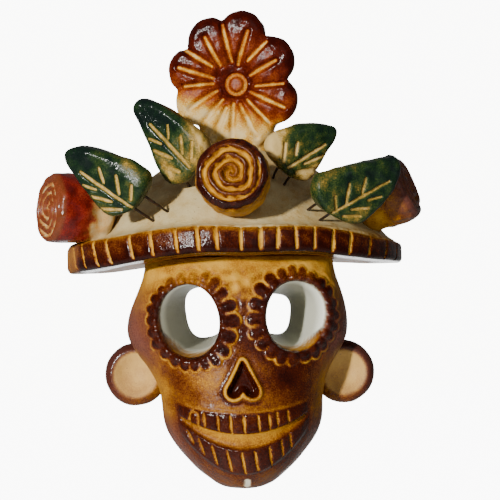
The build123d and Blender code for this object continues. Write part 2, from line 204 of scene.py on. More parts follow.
def surface_net(field, low, high, cell):
    """Vertices and quads of the field's zero level, one vertex in each grid cell that it crosses."""
    low, f = fill_grid(field, low, high, cell)
    inside = f < 0
    nx, ny, nz = (n - 1 for n in f.shape)
    corners = [(i, j, k) for i in (0, 1) for j in (0, 1) for k in (0, 1)]
    count = sum(inside[i : i + nx, j : j + ny, k : k + nz].astype(np.int8) for i, j, k in corners)
    cells = np.argwhere((count > 0) & (count < 8))
    number = np.full((nx, ny, nz), -1, np.int32)
    number[tuple(cells.T)] = np.arange(len(cells))
    total, hits = np.zeros((len(cells), 3)), np.zeros(len(cells))
    for a in corners:
        for axis in range(3):
            if a[axis]:
                continue
            b = list(a)
            b[axis] = 1
            fa, fb = f[tuple((cells + a).T)], f[tuple((cells + b).T)]
            hit = (fa < 0) != (fb < 0)
            t = np.where(hit, fa / np.where(hit, fa - fb, 1), 0)
            point = np.tile(np.array(a, float), (len(cells), 1))
            point[:, axis] = t
            total += point * hit[:, None]
            hits += hit
    verts = low + (cells + total / hits[:, None]) * cell
    quads = []
    for axis in range(3):
        u, v = (axis + 1) % 3, (axis + 2) % 3
        ahead = [slice(None)] * 3
        behind = [slice(None)] * 3
        ahead[axis], behind[axis] = slice(1, None), slice(None, -1)
        p = np.argwhere(inside[tuple(behind)] != inside[tuple(ahead)])
        p = p[(p[:, u] > 0) & (p[:, v] > 0) & (p[:, u] < f.shape[u] - 1) & (p[:, v] < f.shape[v] - 1)]
        du, dv = np.eye(3, dtype=int)[u], np.eye(3, dtype=int)[v]
        ring = [number[tuple((p - s).T)] for s in (0, du, du + dv, dv)]
        quad = np.stack(ring, 1)
        flip = ~inside[tuple(p.T)]
        quad[flip] = quad[flip][:, ::-1]
        quads.append(quad)
    quads = np.concatenate(quads)
    quads = quads[(quads >= 0).all(1)]
    return settle(field, verts, cell), quads


def settle(field, verts, cell):
    """Moves each vertex on to the field's exact zero level."""
    for _ in range(2):
        value = field(verts)
        slope = np.empty_like(verts)
        for axis in range(3):
            q = verts.copy()
            q[:, axis] += 0.15 * cell
            slope[:, axis] = (field(q) - value) / (0.15 * cell)
        size = np.maximum((slope**2).sum(1), 0.25)
        move = -slope * (value / size)[:, None]
        length = np.linalg.norm(move, axis=1)
        move *= np.minimum(1, 0.45 * cell / np.maximum(length, 1e-9))[:, None]
        verts = verts + move
    return verts


def coat(depth, tint=0.0, bare=0.0):
    """What a glaze reads at each vertex: its depth, its share of tint, and how bare the clay is."""
    blank = np.zeros(len(depth))
    return {"depth": clip01(depth), "tint": clip01(blank + tint), "bare": clip01(blank + bare)}


def mesh_object(name, verts, faces, paints):
    """An object from vertices in millimetres, faces of one size, and named numbers for each vertex."""
    mesh = bpy.data.meshes.new(name)
    mesh.vertices.add(len(verts))
    mesh.vertices.foreach_set("co", (verts * MM).astype(np.float32).ravel())
    sides = faces.shape[1]
    mesh.loops.add(sides * len(faces))
    mesh.loops.foreach_set("vertex_index", faces.astype(np.int32).ravel())
    mesh.polygons.add(len(faces))
    mesh.polygons.foreach_set("loop_start", np.arange(0, sides * len(faces), sides, dtype=np.int32))
    mesh.update(calc_edges=True)
    mesh.validate()
    mesh.shade_smooth()
    for key, values in paints.items():
        layer = mesh.attributes.new(key, "FLOAT", "POINT")
        layer.data.foreach_set("value", np.asarray(values, np.float32))
    obj = bpy.data.objects.new(name, mesh)
    bpy.context.scene.collection.objects.link(obj)
    return obj


def make_piece(name, node, body, slot, field, paint, box, cell, material):
    """Meshes and paints one piece, which takes a CAD node's place."""
    low, high = box
    verts, quads = surface_net(field, low, high, cell)
    piece = mesh_object(name, verts, quads, paint(verts))
    piece.data.materials.append(material)
    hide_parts(node)
    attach(piece, body)


def node_box(node, margin=2.5):
    """A node's box in the CAD model, in millimetres, a little larger."""
    low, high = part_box(node)
    return np.array(low) / MM - margin, np.array(high) / MM + margin


# ---------------------------------------------------------------- materials


def shade(r, g, b):
    return (r, g, b, 1.0)


def grey(v):
    return shade(v, v, v)


CREAM = shade(0.50, 0.27, 0.030)
STRAW = shade(0.37, 0.165, 0.010)
AMBER = shade(0.190, 0.066, 0.0040)
RUST = shade(0.105, 0.026, 0.0025)
OXBLOOD = shade(0.044, 0.0055, 0.0010)
NIGHT = shade(0.014, 0.0016, 0.0006)
PLUM = shade(0.130, 0.045, 0.034)
ROSE_BROWN = shade(0.125, 0.034, 0.010)
# pale clay of the tunnel linings, and the same clay darkened as painted shade for deep inside the tunnels
LINING = shade(0.78, 0.79, 0.68)
SHADED_LINING = shade(0.20, 0.185, 0.115)

# each glaze's colours, from thin to thick
BROWN_STOPS = ((0.0, CREAM), (0.16, STRAW), (0.36, AMBER), (0.56, RUST), (0.78, OXBLOOD), (1.0, NIGHT))
HAT_STOPS = ((0.0, shade(0.52, 0.42, 0.22)), (0.18, shade(0.40, 0.26, 0.085))) + BROWN_STOPS[2:]
RED_STOPS = (
    (0.0, shade(0.60, 0.44, 0.20)), (0.09, shade(0.54, 0.32, 0.060)), (0.20, shade(0.40, 0.165, 0.010)),
    (0.38, shade(0.27, 0.058, 0.0035)), (0.58, shade(0.145, 0.020, 0.002)), (0.80, shade(0.066, 0.0050, 0.0010)),
    (1.0, shade(0.022, 0.0018, 0.0008)),
)
CRIMSON_STOPS = (
    (0.0, shade(0.54, 0.42, 0.22)), (0.20, shade(0.44, 0.23, 0.060)), (0.42, shade(0.26, 0.040, 0.014)),
    (0.62, shade(0.165, 0.0095, 0.0045)), (0.82, shade(0.085, 0.005, 0.0035)), (1.0, shade(0.035, 0.003, 0.003)),
)
GREEN_STOPS = (
    (0.0, shade(0.48, 0.34, 0.13)), (0.18, shade(0.28, 0.17, 0.030)), (0.38, shade(0.080, 0.066, 0.012)),
    (0.58, shade(0.018, 0.036, 0.008)), (0.80, shade(0.0055, 0.0165, 0.0065)), (1.0, shade(0.003, 0.0075, 0.006)),
)


class Nodes:
    """A short hand for building a material's node tree."""

    def __init__(self, name):
        self.material = bpy.data.materials.new(name)
        self.material.use_nodes = True
        self.tree = self.material.node_tree
        self.shader = self.tree.nodes["Principled BSDF"]

    def add(self, kind, inputs=(), **settings):
        node = self.tree.nodes.new(kind)
        for key, value in settings.items():
            setattr(node, key, value)
        for key, value in dict(inputs).items():
            if isinstance(value, bpy.types.NodeSocket):
                self.tree.links.new(value, node.inputs[key])
            else:
                node.inputs[key].default_value = value
        return node

    def math(self, operation, a, b, clamp=False):
        return self.add("ShaderNodeMath", {0: a, 1: b}, operation=operation, use_clamp=clamp).outputs[0]

    def paint(self, name):
        return self.add("ShaderNodeAttribute", attribute_name=name).outputs["Fac"]

    def noise(self, size_mm, detail=2.0, rough=0.5):
        where = self.add("ShaderNodeTexCoord").outputs["Object"]
        inputs = {"Vector": where, "Scale": 1 / (size_mm * MM), "Detail": detail, "Roughness": rough}
        return self.add("ShaderNodeTexNoise", inputs).outputs["Fac"]

    def ramp(self, fac, stops):
        node = self.add("ShaderNodeValToRGB", {"Fac": fac})
        for _ in range(len(stops) - 2):
            node.color_ramp.elements.new(0.5)
        for element, (at, colour) in zip(node.color_ramp.elements, stops):
            element.position = at
            element.color = colour
        return node.outputs["Color"]

    def blend(self, fac, a, b, how="MIX"):
        inputs = {0: fac, 6: a, 7: b}
        return self.add("ShaderNodeMix", inputs, data_type="RGBA", blend_type=how).outputs[2]

    def bump(self, size_mm, detail, strength, height, under=None):
        """Small unevenness of the surface, on top of another bump if one is given."""
        inputs = {"Height": self.noise(size_mm, detail), "Strength": strength, "Distance": height}
        if under:
            inputs["Normal"] = under
        return self.add("ShaderNodeBump", inputs).outputs[0]

    def link(self, value, socket):
        self.tree.links.new(value, self.shader.inputs[socket])


def glaze(name, stops, tint=PLUM, speckle=0.34, shine=0.24):
    """A thick airbrushed glaze: its colour follows the painted depth, broken up by fine spray."""
    n = Nodes(name)
    depth = n.paint("depth")
    fine = n.math("SUBTRACT", n.noise(0.55, 3.0, 0.65), 0.5)
    broad = n.math("SUBTRACT", n.noise(5.0, 3.0, 0.6), 0.5)
    edge = n.math("MULTIPLY", depth, n.math("SUBTRACT", 1.05, depth))
    spray = n.math("MULTIPLY", fine, n.math("ADD", n.math("MULTIPLY", edge, 11 * speckle), 0.18))
    drift = n.math("MULTIPLY", broad, n.math("ADD", n.math("MULTIPLY", edge, 1.1), 0.16))
    total = n.math("ADD", n.math("ADD", depth, spray), drift, clamp=True)
    colour = n.ramp(total, stops)
    colour = n.blend(n.paint("tint"), colour, n.blend(0.85, colour, tint))
    stain = n.ramp(n.noise(9.0, 4.0, 0.6), ((0.3, shade(0.90, 0.86, 0.78)), (0.7, grey(1))))
    colour = n.blend(0.6, colour, stain, "MULTIPLY")
    pits = n.ramp(n.noise(1.3, 1.0), ((0.23, shade(0.35, 0.27, 0.2)), (0.27, grey(1))))
    colour = n.blend(0.7, colour, pits, "MULTIPLY")
    bareness = n.paint("bare")
    # bare clay takes the lining colour, blended towards the painted shade of SHADED_LINING as the depth attribute
    # rises
    n.link(n.blend(bareness, colour, n.blend(depth, LINING, SHADED_LINING)), "Base Color")
    uneven = n.math("ADD", total, n.math("MULTIPLY", broad, 0.5))
    gloss = n.ramp(uneven, ((0.30, grey(0.46)), (0.55, grey(0.34)), (0.82, grey(0.15))))
    n.link(n.blend(bareness, gloss, grey(0.5)), "Roughness")
    n.link(n.bump(0.5, 2.0, 0.18, 0.0002, n.bump(2.0, 3.0, 0.40, 0.0007)), "Normal")
    n.link(n.ramp(uneven, ((0.25, grey(0.08)), (0.80, grey(shine)))), "Specular IOR Level")
    return n.material


def iron(name):
    """Annealed wire: dark scale with a little rust and bright wear."""
    n = Nodes(name)
    scale, rust = shade(0.020, 0.017, 0.015), shade(0.07, 0.035, 0.018)
    n.link(n.ramp(n.noise(1.5, 4.0, 0.7), ((0.42, scale), (0.62, rust))), "Base Color")
    n.link(n.ramp(n.noise(0.8, 3.0), ((0.3, grey(0.35)), (0.7, grey(0.6)))), "Roughness")
    n.link(n.bump(0.4, 3.0, 0.3, 0.0001), "Normal")
    n.shader.inputs["Metallic"].default_value = 0.75
    return n.material


# ---------------------------------------------------------------- skull

LEVELS = (9, 0, -10, -20, -30, -40, -48, -56, -64, -72, -80, -87, -93, -97, -99)
SIDE = spline(LEVELS, (45, 46.5, 50.2, 52.6, 51.4, 45, 40.6, 38.6, 38, 36, 30.8, 24.8, 17.8, 11.5, 7))
DEPTH = spline(LEVELS, (50, 53.5, 56, 57, 58, 59.2, 60, 60.2, 60, 59, 58, 55.5, 50, 42, 34))
CURVE = spline((9, -20, -45, -65, -99), (0.0062, 0.0058, 0.0115, 0.0125, 0.02))
FLARE = spline((9, -20, -40, -60, -80, -99), (0.30, 0.36, 0.27, 0.26, 0.28, 0.3))
LEAN = spline((9, -8, -22, -34, -50, -99), (0.0, -0.4, -1.4, -1.2, -0.3, 0.0))
SKULL_TOP, SKULL_FOOT = 8.6, -99
# Each eye, left then right: its middle and half sizes, the same for its tunnel's far end, and where the glaze
# over it is worn to amber, as strength, middle and reach.
EYES = {
    -1: dict(eye=(24.2, -20.4, 14.2, 16.6), far=(17.6, -16.2, 8.7, 12.3), worn=(0.62, -23, 1, 17, 7)),
    1: dict(eye=(25.8, -18.9, 14.6, 16.3), far=(17.5, -18.2, 7.0, 9.6), worn=(0.34, 27, 2, 17, 6)),
}
EYE_Y, EYE_LEAN, EYE_ROUNDING = -56.0, math.radians(8), 3.0
PETALS, PETAL_RING = 22, 15.0
NAIL_R, NAIL_DEPTH = 3.5, 9
NOSE_DEPTH = 4.6
CHIP_X, CHIP_Z = 0.9, -92.7


def skull_block(p):
    """The plain head, before any relief."""
    x, y, z = p.T
    x = x - LEAN(z)
    side, deep = SIDE(z), DEPTH(z)
    back = np.maximum(0, y + 20) / 20
    front = np.maximum(0, -y - 20)
    wall = np.abs(x) - side * (1 - 0.085 * back**2) + FLARE(z) * front * front / 32
    face = -y - deep + CURVE(z) * x * x
    return smax(wall * 0.93, face, 9.0)


def skull_body(p):
    d = true_scale(skull_block, p)
    d = smax(d, p[:, 1], 1.6)
    d = smax(d, p[:, 2] - SKULL_TOP, 0.8)
    return smax(d, SKULL_FOOT - p[:, 2], 5.0)


def eye_turn(x, z, sign, middle_x, middle_z):
    """A place in the leaning frame of an eye or of its tunnel, seen from the front."""
    u, v = sign * x - middle_x, z - middle_z
    cos, sin = math.cos(EYE_LEAN), math.sin(EYE_LEAN)
    return u * cos - v * sin, u * sin + v * cos


def eye_frame(x, z, sign):
    """Angle round an eye, and the distance out from its rim, seen from the front."""
    middle_x, middle_z, rx, rz = EYES[sign]["eye"]
    u, v = eye_turn(x, z, sign, middle_x, middle_z)
    angle = np.arctan2(v / rz, u / rx)
    rho = np.hypot(u / rx, v / rz)
    reach = np.hypot(rx * np.cos(angle), rz * np.sin(angle))
    return angle, (rho - 1) * reach


def petal_shape(angle, out, sign):
    """Distance to a petal's edge, negative inside, and how far out the petal reaches."""
    turn = angle / (2 * math.pi) * PETALS
    turn = turn + 0.12 * np.sin(3 * angle + sign)
    across = (turn - np.floor(turn) - 0.5) * (2 * math.pi * (PETAL_RING + out) / PETALS)
    reach = 5.6 + 3.2 * np.clip(-np.cos(angle), -0.25, 1) + 0.4 * np.sin(7 * angle + 2 * sign)
    half = 1.75 + 0.1 * np.clip(out, 0, 8)
    tip = np.maximum(out - (reach - half), 0)
    return np.hypot(across, tip) - half, reach


def heart_outline():
    right = [(0.0, -37.8), (2.5, -42.0), (5.3, -47.2), (7.0, -50.9), (6.6, -53.3), (4.2, -54.4), (1.6, -53.4)]
    left = [(-1.9, -53.6), (-4.4, -54.4), (-6.7, -53.1), (-7.1, -50.6), (-5.1, -47.0), (-2.5, -42.0)]
    return smooth_loop(right + [(0.0, -51.6)] + left, 4)


HEART = heart_outline()


def mouth_edges(x):
    """Heights of the mouth's upper and lower edge, and of the teeth's outer edges."""
    t = (x / 28.3) ** 2
    upper = -69.6 + 7.2 * t
    lower = -76.6 + 13.0 * t - 0.8 * t * t
    gum = -60.6 + 3.6 * t
    chin = -88.4 + 17.5 * t
    return upper, lower, gum, chin


# Where the lines between the teeth are. The first upper tooth is an upturned U with its own middle and radius.
UPPER_TEETH = (-17.6, -11.6, -5.9, -0.1, 6.3, 11.0, 14.6, 19.4)
LOWER_TEETH = (-24.5, -19.6, -13.6, -7.0, -0.6, 5.2, 11.6, 17.0, 21.0)
FIRST_TOOTH, FIRST_TOOTH_R = -22.1, 1.9
TOOTH_LINE = 0.95


def tooth_line(x, z, top, low, least, start, span):
    """Depth of one line between two teeth, 0 to 1. It is widest near its middle."""
    d, t = segment_2d(x, z, top, low)
    return ramp(d, TOOTH_LINE * swell(t, least, start, span), 0.15)


def tooth_marks(x, z):
    """How deep the carved lines between the teeth are, 0 to 1."""
    marks = np.zeros(len(x))
    for at in UPPER_TEETH:
        upper, lower, gum, chin = mouth_edges(at)
        line = tooth_line(x, z, (at, gum - 1.6), (at + 0.5, upper + 0.3), 0.55, 0.1, 0.9)
        marks = np.maximum(marks, line)
    for at in LOWER_TEETH:
        upper, lower, gum, chin = mouth_edges(at)
        line = tooth_line(x, z, (at - 0.7, lower - 1.4), (at + 0.9 - 0.05 * at, chin + 1.0), 0.4, 0.12, 0.85)
        marks = np.maximum(marks, line)
    top = mouth_edges(FIRST_TOOTH)[2] - 3.6
    arch = np.hypot(x - FIRST_TOOTH, np.maximum(z - top, 0)) - FIRST_TOOTH_R
    legs = ramp(z, top - 5.2, top - 4.0) * ramp(z, top + 4, top + 3)
    return np.maximum(marks, stripe(arch, 0.9, 0.15) * legs)


def eye_relief(x, z, sign):
    """Domed petals with a thin lip round each, and a low rim round the eye."""
    angle, away = eye_frame(x, z, sign)
    edge, reach = petal_shape(angle, away, sign)
    near = ramp(away, -3, 0) * ramp(away, 14, 10)
    dome = np.sqrt(clip01(-edge / 1.6)) * ramp(away, reach + 1.5, reach - 2.5)
    lip = stripe(edge - 0.4, 0.9, 0.1) * ramp(away, 1.5, 4.0)
    moat = ramp(edge, 2.6, 1.0) * ramp(edge, 0.4, 1.0)
    return near * (0.75 * dome + 0.45 * lip - 0.4 * moat) + 0.7 * stripe(away - 0.9, 2.4, 0.4)


def mouth_relief(x, z):
    upper, lower, gum, chin = mouth_edges(x)
    middle, half = (upper + lower) / 2, (upper - lower) / 2 + 0.2
    bowl = np.sqrt(clip01(1 - ((z - middle) / half) ** 2))
    teeth = ramp(z, gum, gum - 1.4) * ramp(z, chin - 0.2, chin + 1.6)
    out = 0.9 * teeth * stripe(x, 30, 25) - 2.2 * bowl * stripe(x, 29.5, 26)
    out += 0.5 * stripe(z - gum - 0.9, 1.6, 0.2) * stripe(x, 24, 16)
    return out - 0.9 * tooth_marks(x, z) * stripe(x, 29, 25)


def relief(p):
    """How far the carving stands out of the plain head, in mm."""
    x, y, z = p.T
    out = eye_relief(x, z, -1) + eye_relief(x, z, 1) + mouth_relief(x, z)
    heart = polygon_2d(x, z, HEART)
    out += 1.1 * stripe(heart - 0.7, 1.2, 0.1) - 0.3 * stripe(heart - 2.9, 1.8, 0.2)
    out -= NOSE_DEPTH * ramp(heart, 0.2, -2.6)
    out -= 0.35 * ramp(np.hypot((x - CHIP_X) / 1.6, (z - CHIP_Z) / 2.4), 1.1, 0.7)
    out += 0.35 * waves(p, 6, 28) * stripe(z + 3, 9, 2)
    return out * ramp(-y, 30, 42)


def tunnel(p, sign):
    """Distance to an eye's tunnel, negative inside. It narrows and grows squarer towards the back."""
    x, y, z = p.T
    t = (y - EYE_Y) / -EYE_Y
    ends = zip(EYES[sign]["eye"], EYES[sign]["far"])
    middle_x, middle_z, rx, rz = (mix(near, far, t) for near, far in ends)
    u, v = eye_turn(x, z, sign, middle_x, middle_z)
    square = 2.0 + 0.8 * clip01(t)
    rho = (np.abs(u / rx) ** square + np.abs(v / rz) ** square) ** (1 / square)
    return (rho - 1) * np.minimum(rx, rz)


def tunnels(p):
    return np.minimum(tunnel(p, -1), tunnel(p, 1))


def skull_field(p):
    d = skull_body(p) - 0.10 * waves(p, 9, 3)
    near = np.abs(d) < 8
    d[near] -= relief(p[near]) * 0.95
    d = smax(d, -tunnels(p), EYE_ROUNDING)
    nail = NAIL_R - np.hypot(p[:, 0], p[:, 2])
    return smax(d, smin(nail, NAIL_DEPTH + p[:, 1], 0.5), 0.6)


FACE_DEPTH = spline(
    (10, 4, -2, -10, -20, -30, -45, -56, -62, -80, -90, -99),
    (0.08, 0.12, 0.23, 0.44, 0.58, 0.60, 0.55, 0.52, 0.6, 0.74, 0.58, 0.56),
)
FLANK_LEVELS = (10, 0, -8, -18, -32, -42, -52, -62, -70, -85, -99)
FLANK_DEPTH = spline(FLANK_LEVELS, (0.05, 0.08, 0.18, 0.46, 0.60, 0.36, 0.24, 0.30, 0.50, 0.60, 0.62))
FLANK_PLUM = spline(FLANK_LEVELS, (0.0, 0.1, 0.45, 0.85, 0.8, 0.25, 0.0, 0.3, 0.75, 0.6, 0.5))
# soft darker and paler patches of the face's glaze: change in depth, middle, and reach across and up
FACE_PATCHES = (
    (0.32, 22, -46, 16, 13), (0.14, 8, -30, 9, 8), (-0.17, -17, -45, 12, 9), (-0.16, -2, -9, 12, 10),
    (0.14, -27, -50, 9, 6), (0.15, 0, -26, 6, 11), (0.20, 1, -13, 9, 7), (-0.12, 0, -58.5, 16, 2.6),
)


def face_share(y):
    """1 on the face, 0 on the sides."""
    return ramp(-y, 38, 50)


def head_glaze(p):
    """Depth and plum tint before the carving: cream temples, plum cheeks and jaw, amber between."""
    x, y, z = p.T
    side = 1 - face_share(y)
    depth = FACE_DEPTH(z) + 0.07 * waves(p, 12, 8) + 0.14 * waves(p, 4.5, 27) * stripe(z + 6, 14, 4)
    for change, cx, cz, rx, rz in FACE_PATCHES:
        depth += change * spot(x, z, cx, cz, rx, rz)
    depth = mix(depth, FLANK_DEPTH(z) + 0.04 * waves(p, 12, 8), side)
    return depth, clip01(FLANK_PLUM(z)) * side


def mouth_glaze(depth, p):
    """Dark teeth with pale carved lines, and a cream lip that darkens downward."""
    x, y, z = p.T
    upper, lower, gum, chin = mouth_edges(x)
    teeth = ramp(z, gum + 0.3, gum - 0.9) * ramp(z, chin - 0.9, chin + 0.6) * stripe(x, 31, 28)
    depth = mix(depth, 0.84 + 0.05 * waves(p, 7, 5), teeth * ramp(-y, 40, 47))
    mouth = ramp(z, upper + 0.1, upper - 0.5) * ramp(z, lower - 0.9, lower + 0.9) * stripe(x, 29, 27.5)
    inside = clip01((upper - z) / np.maximum(upper - lower, 0.5))
    depth = mix(depth, 0.13 + 0.30 * inside**1.6 + 0.14 * ramp(np.abs(x), 8, 28), mouth)
    marks = tooth_marks(x, z) * stripe(x, 29, 25) * ramp(-y, 36, 44)
    depth = mix(depth, 0.07 + 0.012 * np.abs(x), ramp(marks, 0.18, 0.6))
    arch = stripe(z - gum - 0.2, 1.1, 0.3) * stripe(x, 30, 22)
    return mix(depth, 0.30, 0.8 * arch * face_share(y))


def eye_glaze(depth, tint, p, sign):
    """Dark pools pressed between thin worn ridges, worn to amber over the eye."""
    x, y, z = p.T
    angle, away = eye_frame(x, z, sign)
    edge, reach = petal_shape(angle, away, sign)
    strength, *where = EYES[sign]["worn"]
    worn = strength * spot(x, z, *where)
    front = ramp(-y, 26, 36)
    near = ramp(away, 12.5, 11) * front
    petal = ramp(edge, 0.45, -0.35) * ramp(away, -0.5, 0.8) * near
    gap = stripe(edge - 0.45, 0.95, 0.3) * near * ramp(away, 2.2, 5.0) * ramp(away, reach + 2.2, reach + 0.8)
    gap = gap * clip01(0.75 + 0.6 * waves(p, 4.5, 24 + sign))
    root = near * ramp(away, 4.2, 2.0) * ramp(away, -0.5, 0.8)
    ring = stripe(away - 0.9, 2.4, 1.2) * front
    depth = mix(depth, 0.08 + 0.10 * waves(p, 5, 4), gap)
    depth = mix(depth, 0.92 - worn + 0.08 * waves(p, 4, 9), np.maximum(petal, 0.85 * root))
    depth = mix(depth, 0.88 - worn + 0.05 * waves(p, 6, 10), ring)
    return depth, tint * (1 - 0.9 * np.maximum(petal, ring))


def nose_glaze(depth, p):
    """A pale outline, a dark hollow, and dark pools beside and under the outline."""
    x, y, z = p.T
    face = face_share(y)
    heart = polygon_2d(x, z, HEART)
    rim = stripe(heart - 0.75, 1.0, 0.45) * face
    depth = mix(depth, 0.04 + 0.20 * ramp(x - 0.4 * (z + 47), 0, 6), rim)
    depth = mix(depth, 0.9, ramp(heart, 0.25, -0.5) * face)
    beside = stripe(heart - 2.6, 1.2, 0.4) * face * ramp(z, -38, -46) * ramp(x, 2, -4)
    depth = mix(depth, np.maximum(depth, 0.80), beside)
    return mix(depth, 0.8, stripe(heart - 2.6, 1.2, 0.3) * face * ramp(z, -54, -57))


def lining_glaze(depth, p):
    """The pale lining of the eye tunnels, with a sprayed edge at the foot of each eye and painted shade inside.
    """
    x, y, z = p.T
    inner = ramp(tunnels(p), 1.3, 0.3)
    into = y + DEPTH(z) - CURVE(z) * x * x
    low = ramp(z, -23.5, -31)
    fade = 1.6 + 13 * low
    speck = waves(p, 1.2, 6) * (0.6 + 3.4 * low)
    bare = inner * ramp(into + speck, fade - 0.9 - 7 * low, fade + 1.6 + 3 * low)
    rim = mix(0.72, 0.17, low) + 0.02 * (6 - np.minimum(into, 6))
    depth = mix(depth, rim, inner * ramp(into, 0.6, 2.2))
    # painted shade that deepens into each tunnel, darker in the left one; on bare clay the depth picks
    # SHADED_LINING
    shaded = np.where(x < 0, 0.74, 0.5) * ramp(into, 5, 16)
    depth = mix(depth, shaded, inner * ramp(into, fade, fade + 2.0 + 7 * low))
    return depth, inner, bare


def skull_paint(p):
    x, y, z = p.T
    depth, tint = head_glaze(p)
    depth = mouth_glaze(depth, p)
    for sign in (-1, 1):
        depth, tint = eye_glaze(depth, tint, p, sign)
    depth = nose_glaze(depth, p)
    depth, inner, bare = lining_glaze(depth, p)
    # the back is cast clay with thin glaze, and a chip on the chin is bare clay
    rear = ramp(y, -2.5, -0.6)
    chip = ramp(((x - CHIP_X) / 1.25) ** 4 + ((z - CHIP_Z) / 2.3) ** 4, 1.4, 0.7) * ramp(-y, 30, 38)
    depth = mix(mix(depth, 0.16, rear), 0.0, chip)
    bare = np.maximum(np.maximum(bare, 0.8 * rear), 0.75 * chip)
    return coat(depth, tint * (1 - inner) * (1 - np.maximum(rear, chip)), bare)


# ---------------------------------------------------------------- ears

EARS = {-1: (50.9, -45.6), 1: (49.6, -46.8)}  # how far out and how high each ear's middle is
EAR_Y, EAR_R, EAR_HALF = -13.5, 15.2, 6.5
BOWL_R, BOWL_AHEAD = 13.5, 15.6


def ear_place(p, sign):
    """Place outward, up and inward from an ear's middle."""
    out, high = EARS[sign]
    return sign * p[:, 0] - out, p[:, 2] - high, p[:, 1] - EAR_Y


def ear_field(sign):
    def field(p):
        u, v, w = ear_place(p, sign)
        d = rounded_slab(np.hypot(u, v) - EAR_R, w, EAR_HALF, 5.6)
        bowl = BOWL_R - np.sqrt((u - 0.6) ** 2 + v**2 + (w + BOWL_AHEAD) ** 2)
        d = smax(d, bowl, 2.4)
        return smax(d - 0.10 * waves(p, 8, 11), -(skull_body(p) + 0.4), 0.4)

    return field


def ear_paint(sign):
    def paint(p):
        u, v, _ = ear_place(p, sign)
        r = np.hypot(u, v)
        turn = clip01(0.5 + 0.55 * (u * 0.75 + v * 0.62) / np.maximum(r, 4))
        rim = ramp(r, 9.6, 12.4)
        depth = 0.03 + 0.10 * ramp(v, 2, -9) + 0.04 * waves(p, 8, 2)
        depth = mix(depth, 0.50 + 0.45 * turn, rim)
        depth = mix(depth, 0.25, ramp(u, -6, -12) * (1 - 0.6 * rim))
        rear = ramp(p[:, 1], -9, -7)
        tint = rim * turn * 0.35 * (1 - rear)
        return coat(mix(depth, 0.3, rear), tint, 0.5 * rear + 0.10 * (1 - rim) * (1 - rear))

    return paint


# ---------------------------------------------------------------- hat

BRIM_R, BRIM_X, BRIM_Y, BRIM_SLAB = 85.3, -1.7, 11.6, 5.5
BRIM_ACROSS = (-80, -63, -48, -30, -12, 0, 12, 25, 35, 45, 54, 64, 77)
BRIM_MIDDLE = spline(
    BRIM_ACROSS, (11.2, 11.3, 12.8, 14.3, 14.9, 14.3, 14.5, 14.5, 14.3, 13.1, 12.3, 11.3, 11.0)
)
BRIM_HALF = spline(BRIM_ACROSS, (7.0, 6.7, 6.4, 6.1, 5.8, 5.6, 5.6, 5.6, 5.7, 5.8, 5.6, 5.2, 5.0))
CROWN_R, CROWN_Y, CROWN_FOOT, CROWN_H = 76.0, 8.0, 19.0, 50.0
# each line cut in the brim's edge: degrees round the brim at its upper and lower end, and half its width
NOTCHES = (
    (-66.0, -62.5, 0.7), (-58.7, -55.3, 0.6), (-51.2, -48.0, 0.85), (-44.8, -41.7, 0.75), (-35.0, -33.0, 0.7),
    (-27.2, -26.0, 0.75), (-19.2, -18.3, 0.75), (-12.6, -11.9, 0.8), (-7.0, -6.6, 0.95), (0.2, 0.3, 0.75),
    (6.0, 5.9, 1.15), (11.3, 10.8, 0.85), (16.5, 16.8, 0.8), (22.9, 22.5, 0.7), (29.7, 28.8, 1.05),
    (36.6, 35.5, 1.05), (46.0, 44.4, 0.65), (56.2, 54.3, 0.6), (66.0, 64.5, 0.7), (-74.0, -71.0, 0.7),
    (75.0, 74.0, 0.7),
)


def brim_place(p):
    """Turn round the brim in degrees, distance out, height over its middle, and half its thickness there."""
    x, y, z = p.T
    turn = np.degrees(np.arctan2(x, BRIM_Y - y))
    return turn, np.hypot(x - BRIM_X, y - BRIM_Y), z - BRIM_MIDDLE(x), BRIM_HALF(x)


def notch_marks(turn, high, half):
    """The carved lines of the brim's edge, 0 to 1."""
    marks = np.zeros(len(turn))
    share = 0.5 - high / (2 * half)
    for top, low, wide in NOTCHES:
        across = np.abs(turn - mix(top, low, share)) * math.radians(BRIM_R)
        half_wide = wide * swell(share, 0.62, 0, 1)
        marks = np.maximum(marks, ramp(across, half_wide + 0.4, half_wide * 0.4))
    return marks * stripe(share - 0.47, 0.50, 0.38)


def brim_field(p):
    turn, out, high, half = brim_place(p)
    wobble = 0.30 * np.sin(np.radians(9 * turn) + 1) + 0.22 * np.sin(np.radians(17 * turn))
    wobble += 0.15 * waves(p, 8, 21)
    level = (high + 0.25 * wobble) * BRIM_SLAB / half
    d = rounded_slab(out - BRIM_R - 0.2 + 0.3 * wobble, level, BRIM_SLAB, 2.6)
    d = d + 0.9 * notch_marks(turn, high, half) * ramp(out, BRIM_R - 6, BRIM_R - 3)
    return smax(d, p[:, 1], 1.0)


